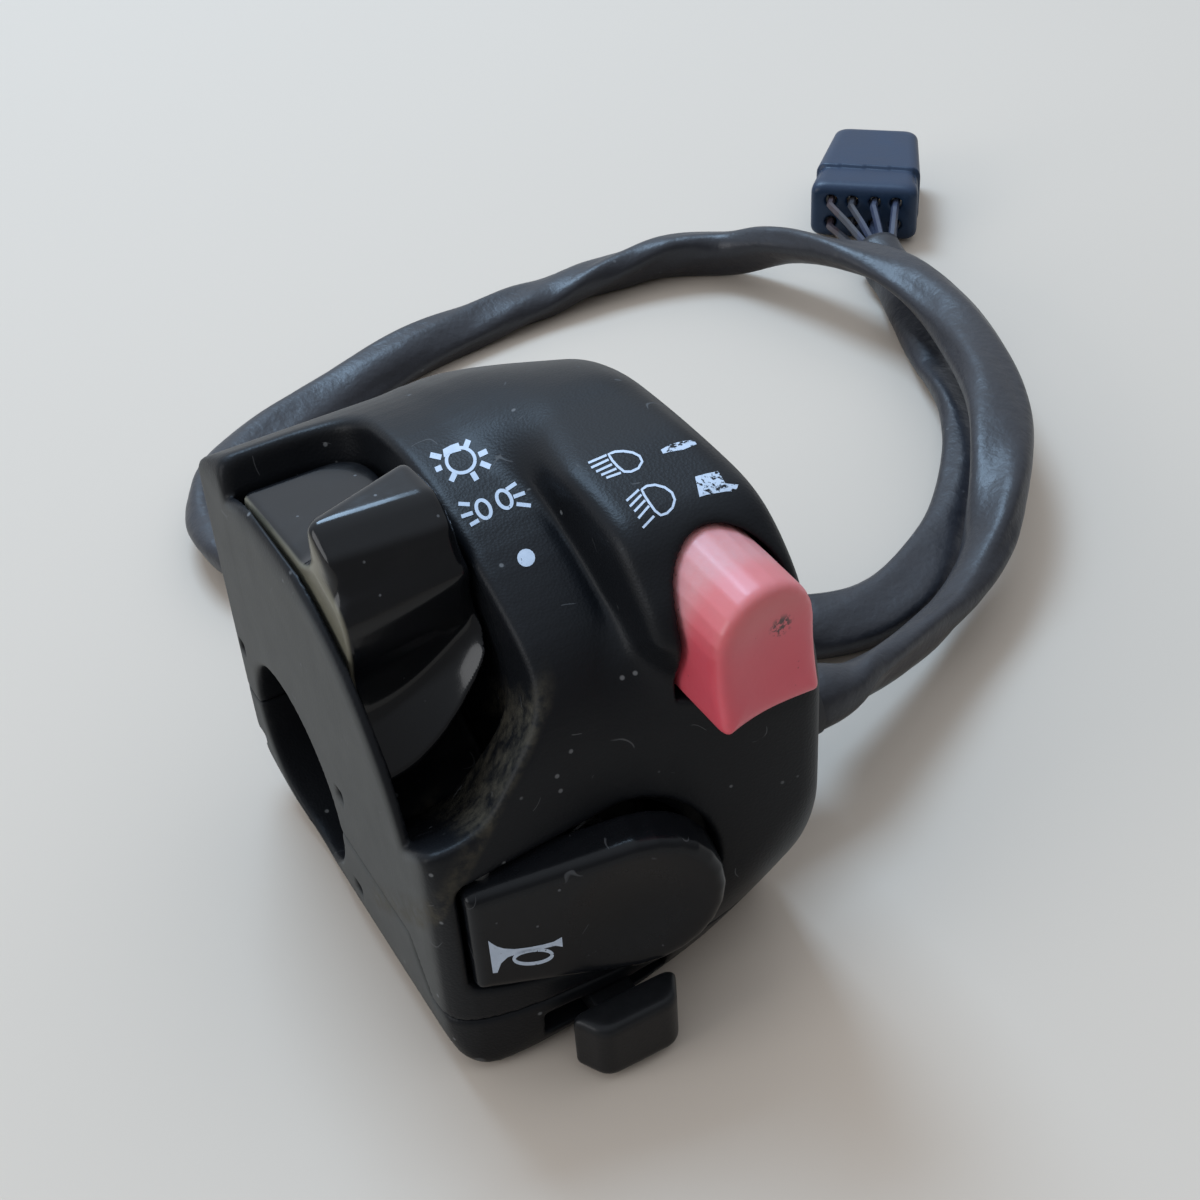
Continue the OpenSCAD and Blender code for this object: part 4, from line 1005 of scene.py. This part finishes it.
def faded_red():
    """Sun-faded red plastic: paler on top, dusty at the root, scuffed on its face."""
    look = Look(
        "faded_red", subsurface_weight=0.25, subsurface_radius=(0.0016, 0.0006, 0.0005),
        subsurface_scale=1.0, coat_weight=0.25, coat_roughness=0.22,
    )
    x, y, z = look.axes()
    cloud = look.noise(5.0, 4.0)
    top = z.rise(30.5, 37.5)
    root = y.rise(-38.2, -35.2) * z.rise(28, 33) * (0.35 + look.noise(0.9, 5.0, 0.7))
    pits = look.specks(1.25, 0.36)
    mark = (((x - MARK_X) ** 2.0 + (z - MARK_Z) ** 2.0) ** 0.5).rise(1.5, 0.6)
    mark = mark * look.noise(0.45, 2.0).rise(0.42, 0.56)
    grime = look.noise(2.4, 4.0).rise(0.6, 0.8) * y.rise(-41.5, -42.6)
    dye = cloud.mix((0.56, 0.066, 0.098), (0.63, 0.092, 0.12))
    dye = (top * 0.75).mix(dye, (0.56, 0.17, 0.168))
    dye = (root * 0.55).clamp().mix(dye, (0.52, 0.31, 0.31))
    dye = (grime * 0.3).mix(dye, (0.2, 0.03, 0.04))
    look.color(((pits * 0.6) + mark).clamp().mix(dye, (0.07, 0.02, 0.022)))
    look.rough((0.34 + 0.2 * root + 0.12 * cloud + 0.1 * top).clamp())
    look.bump(look.noise(0.6, 4.0) * 0.8 - pits * 0.5, 0.02)
    return look.material


def print_ink():
    """Pale printing ink, rubbed thin in places and most of all at the right."""
    look = Look("print_ink")
    thin = look.noise(0.8, 5.0, 0.7)
    look.color(thin.mix((0.33, 0.4, 0.5), (0.56, 0.63, 0.74)))
    look.rough(0.45 + 0.2 * thin)
    x, _, _ = look.axes()
    bare = (look.noise(0.55, 3.0, 0.7) - 0.15 * x.rise(13.0, 13.8)).rise(0.27, 0.36)
    look.feed(look.shader.inputs["Alpha"], bare)
    return look.material


def sleeve_vinyl():
    """Soft black tubing with shallow creases along it."""
    look = Look("sleeve_vinyl", specular_ior_level=0.4, coat_weight=0.08, coat_roughness=0.3)
    crease = look.noise(3.2, 4.0, 0.55)
    fine = look.noise(0.7, 3.0)
    speck = look.specks(2.6, 0.4)
    ink = crease.mix((0.008, 0.009, 0.0135), (0.016, 0.0175, 0.024))
    look.color((speck * 0.25).mix(ink, (0.22, 0.23, 0.24)))
    look.rough((0.34 + 0.16 * crease + 0.25 * speck).clamp())
    look.bump(crease * 0.85 + fine * 0.15, 0.3)
    return look.material


def connector_nylon():
    look = Look("connector_nylon", specular_ior_level=0.3, coat_weight=0.08, coat_roughness=0.25)
    cloud = look.noise(6.0, 4.0)
    rub = look.noise(1.0, 5.0, 0.65).rise(0.55, 0.8)
    dye = cloud.mix((0.006, 0.018, 0.044), (0.011, 0.03, 0.068))
    look.color((rub * 0.25).mix(dye, (0.05, 0.085, 0.14)))
    look.rough((0.36 + 0.16 * cloud + 0.12 * rub).clamp())
    look.bump(look.noise(0.35, 3.0), 0.02)
    return look.material


def wire_insulation():
    """Eight leads side by side, coloured by their place across the connector."""
    look = Look("wire_insulation")
    x, y, _ = look.axes()
    c, s = math.cos(math.radians(PLUG_ANGLE)), math.sin(math.radians(PLUG_ANGLE))
    side = (y - PLUG_AT[1]) * c - (x - PLUG_AT[0]) * s
    dye = side.rise(-3.6, -3.3).mix((0.03, 0.06, 0.42), (0.02, 0.02, 0.024))
    dye = side.rise(0.2, -0.2).mix(dye, (0.012, 0.02, 0.05))
    dye = side.rise(3.3, 3.6).mix(dye, (0.03, 0.012, 0.012))
    fade = look.noise(2.0, 3.0)
    look.color((fade * 0.3).mix(dye, (0.15, 0.16, 0.2)))
    look.rough(0.32 + 0.2 * fade)
    look.bump(fade, 0.02)
    return look.material


def soft_rubber():
    look = Look("grommet_rubber")
    cloud = look.noise(2.2, 4.0)
    look.color(cloud.mix((0.01, 0.0105, 0.012), (0.024, 0.024, 0.026)))
    look.rough(0.52 + 0.2 * cloud)
    look.bump(look.noise(0.25, 3.0) + cloud * 0.5, 0.03)
    return look.material


def plated(name, dull, bright, rough):
    """Turned or stamped metal with fine lines and a little tarnish."""
    look = Look(name, metallic=1.0)
    line = look.noise(0.35, 3.0, at=look.stretched(0.2, 1.0, 1.0))
    stain = look.noise(2.5, 4.0, 0.6)
    look.color(stain.mix(dull, bright))
    look.rough((rough + 0.18 * stain + 0.08 * line).clamp())
    look.bump(line, 0.006)
    return look.material


def moulded(name, dark, light, rough):
    """Plain moulded plastic or board."""
    look = Look(name)
    cloud = look.noise(3.0, 4.0)
    look.color(cloud.mix(dark, light))
    look.rough(rough + 0.15 * cloud)
    look.bump(look.noise(0.3, 3.0), 0.02)
    return look.material


def dress(piece, material):
    piece.data.materials.clear()
    piece.data.materials.append(material)


housing_look = housing_plastic()
metal_look = plated("zinc_plate", (0.3, 0.3, 0.31), (0.62, 0.62, 0.6), 0.28)
spring_look = plated("spring_wire", (0.35, 0.35, 0.36), (0.68, 0.68, 0.68), 0.22)
ball_look = plated("polished_ball", (0.6, 0.6, 0.6), (0.8, 0.8, 0.8), 0.08)
brass_look = plated("contact_brass", (0.45, 0.28, 0.1), (0.75, 0.52, 0.22), 0.25)
copper_look = plated("board_copper", (0.4, 0.16, 0.07), (0.8, 0.38, 0.2), 0.25)
board_look = moulded("board_laminate", (0.11, 0.06, 0.025), (0.2, 0.12, 0.05), 0.45)
nylon_look = moulded("white_nylon", (0.55, 0.53, 0.47), (0.72, 0.7, 0.64), 0.4)
switch_look = moulded("switch_plastic", (0.012, 0.012, 0.013), (0.028, 0.028, 0.03), 0.4)
wire_look = wire_insulation()

for node, material in {
    "light_rotor": nylon_look, "dip_plunger": nylon_look, "turn_carriage": nylon_look,
    "light_screw": metal_look, "board_screws": metal_look, "clamp_screws": metal_look,
    "horn_pin": metal_look, "light_wiper": brass_look, "turn_wiper": brass_look,
    "dip_contacts": brass_look, "horn_blade": brass_look, "plug_terminals": brass_look,
    "light_detent_ball": ball_look, "turn_detent_ball": ball_look,
    "light_detent_spring": spring_look, "turn_detent_spring": spring_look,
    "dip_spring": spring_look, "horn_spring": spring_look, "turn_spring": spring_look,
    "light_board": board_look, "turn_board": board_look, "light_pads": copper_look,
    "turn_pads": copper_look, "dip_body": switch_look, "horn_contact": switch_look,
    "turn_rail": switch_look, "inner_wires": wire_look, "plug_wires": wire_look,
    "wire_grommet": soft_rubber(),
}.items():
    dress(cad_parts[node], material)

for piece, node, body, slot, material in (
    (upper_shell, "upper_shell", "housing", "housing_black", housing_look),
    (lower_shell, "lower_shell", "housing", "housing_black", housing_look),
    (lever, "light_lever", "light_switch", "lever_black", lever_gloss()),
    (dip_button, "dip_button", "dip_switch", "button_red", faded_red()),
    (horn_button, "horn_button", "horn_switch", "button_black", paddle_gloss()),
    (turn_knob, "turn_knob", "turn_pusher", "button_black", knob_satin()),
    (sleeve, "harness_sleeve", "housing", "sleeve_pvc", sleeve_vinyl()),
    (plug, "plug_housing", "housing", "connector_navy", connector_nylon()),
):
    dress(piece, material)
    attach(piece, body)
    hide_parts(node)

ink = print_ink()
for piece, body, slot in (
    (light_marks, "housing", "housing_black"), (beam_marks, "housing", "housing_black"),
    (horn_mark, "horn_switch", "button_black"),
):
    dress(piece, ink)
    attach(piece, body)


# Studio
def add_floor():
    size, under = 2600.0, FLOOR_Z - 0.02
    corners = [(-size, -size, under), (size, -size, under), (size, size, under), (-size, size, under)]
    floor = add_mesh("floor", corners, [(0, 1, 2, 3)], smooth=False)
    look = Look("pale_paper")
    tone = look.noise(160.0, 2.0)
    look.color(tone.mix((0.545, 0.468, 0.392), (0.568, 0.488, 0.41)))
    look.rough(0.8 + 0.1 * tone)
    dress(floor, look.material)


def add_softbox(name, at, toward, size, power, tint):
    """A square light at a place, turned towards another."""
    light = bpy.data.lights.new(name, "AREA")
    light.shape = "SQUARE"
    light.size = size
    light.energy, light.color = power, tint
    lamp = bpy.data.objects.new(name, light)
    lamp.location = at
    lamp.rotation_euler = (Vector(toward) - Vector(at)).to_track_quat("-Z", "Y").to_euler()
    bpy.context.scene.collection.objects.link(lamp)


def add_sky():
    """Pale surroundings, cool and bright overhead and behind the part, dim in front of it."""
    world = bpy.data.worlds.new("room")
    bpy.context.scene.world = world
    world.use_nodes = True
    tree = world.node_tree
    place = tree.nodes.new("ShaderNodeTexCoord")
    height = tree.nodes.new("ShaderNodeMapRange")
    facing = tree.nodes.new("ShaderNodeVectorMath")
    facing.operation = "DOT_PRODUCT"
    facing.inputs[1].default_value = (0.0, 0.5, 0.87)
    blend = tree.nodes.new("ShaderNodeMix")
    blend.data_type = "RGBA"
    height.inputs["From Min"].default_value = 0.0
    height.inputs["From Max"].default_value = 0.9
    blend.inputs[6].default_value = (0.27, 0.27, 0.275, 1)
    blend.inputs[7].default_value = (0.92, 1.0, 1.1, 1)
    tree.links.new(place.outputs["Generated"], facing.inputs[0])
    tree.links.new(facing.outputs["Value"], height.inputs["Value"])
    tree.links.new(height.outputs[0], blend.inputs[0])
    tree.links.new(blend.outputs[2], tree.nodes["Background"].inputs["Color"])
    tree.nodes["Background"].inputs["Strength"].default_value = 1.05


add_floor()
add_sky()
add_softbox("window", (0.05, 0.5, 0.75), (0, 0, 0), 0.34, 6.4, (0.5, 0.73, 1.0))
add_softbox("side_window", (-0.9, 0.05, 0.35), (0, 0, 0.02), 0.5, 2.6, (0.97, 0.98, 1.0))
bpy.context.scene.view_settings.view_transform = "Standard"
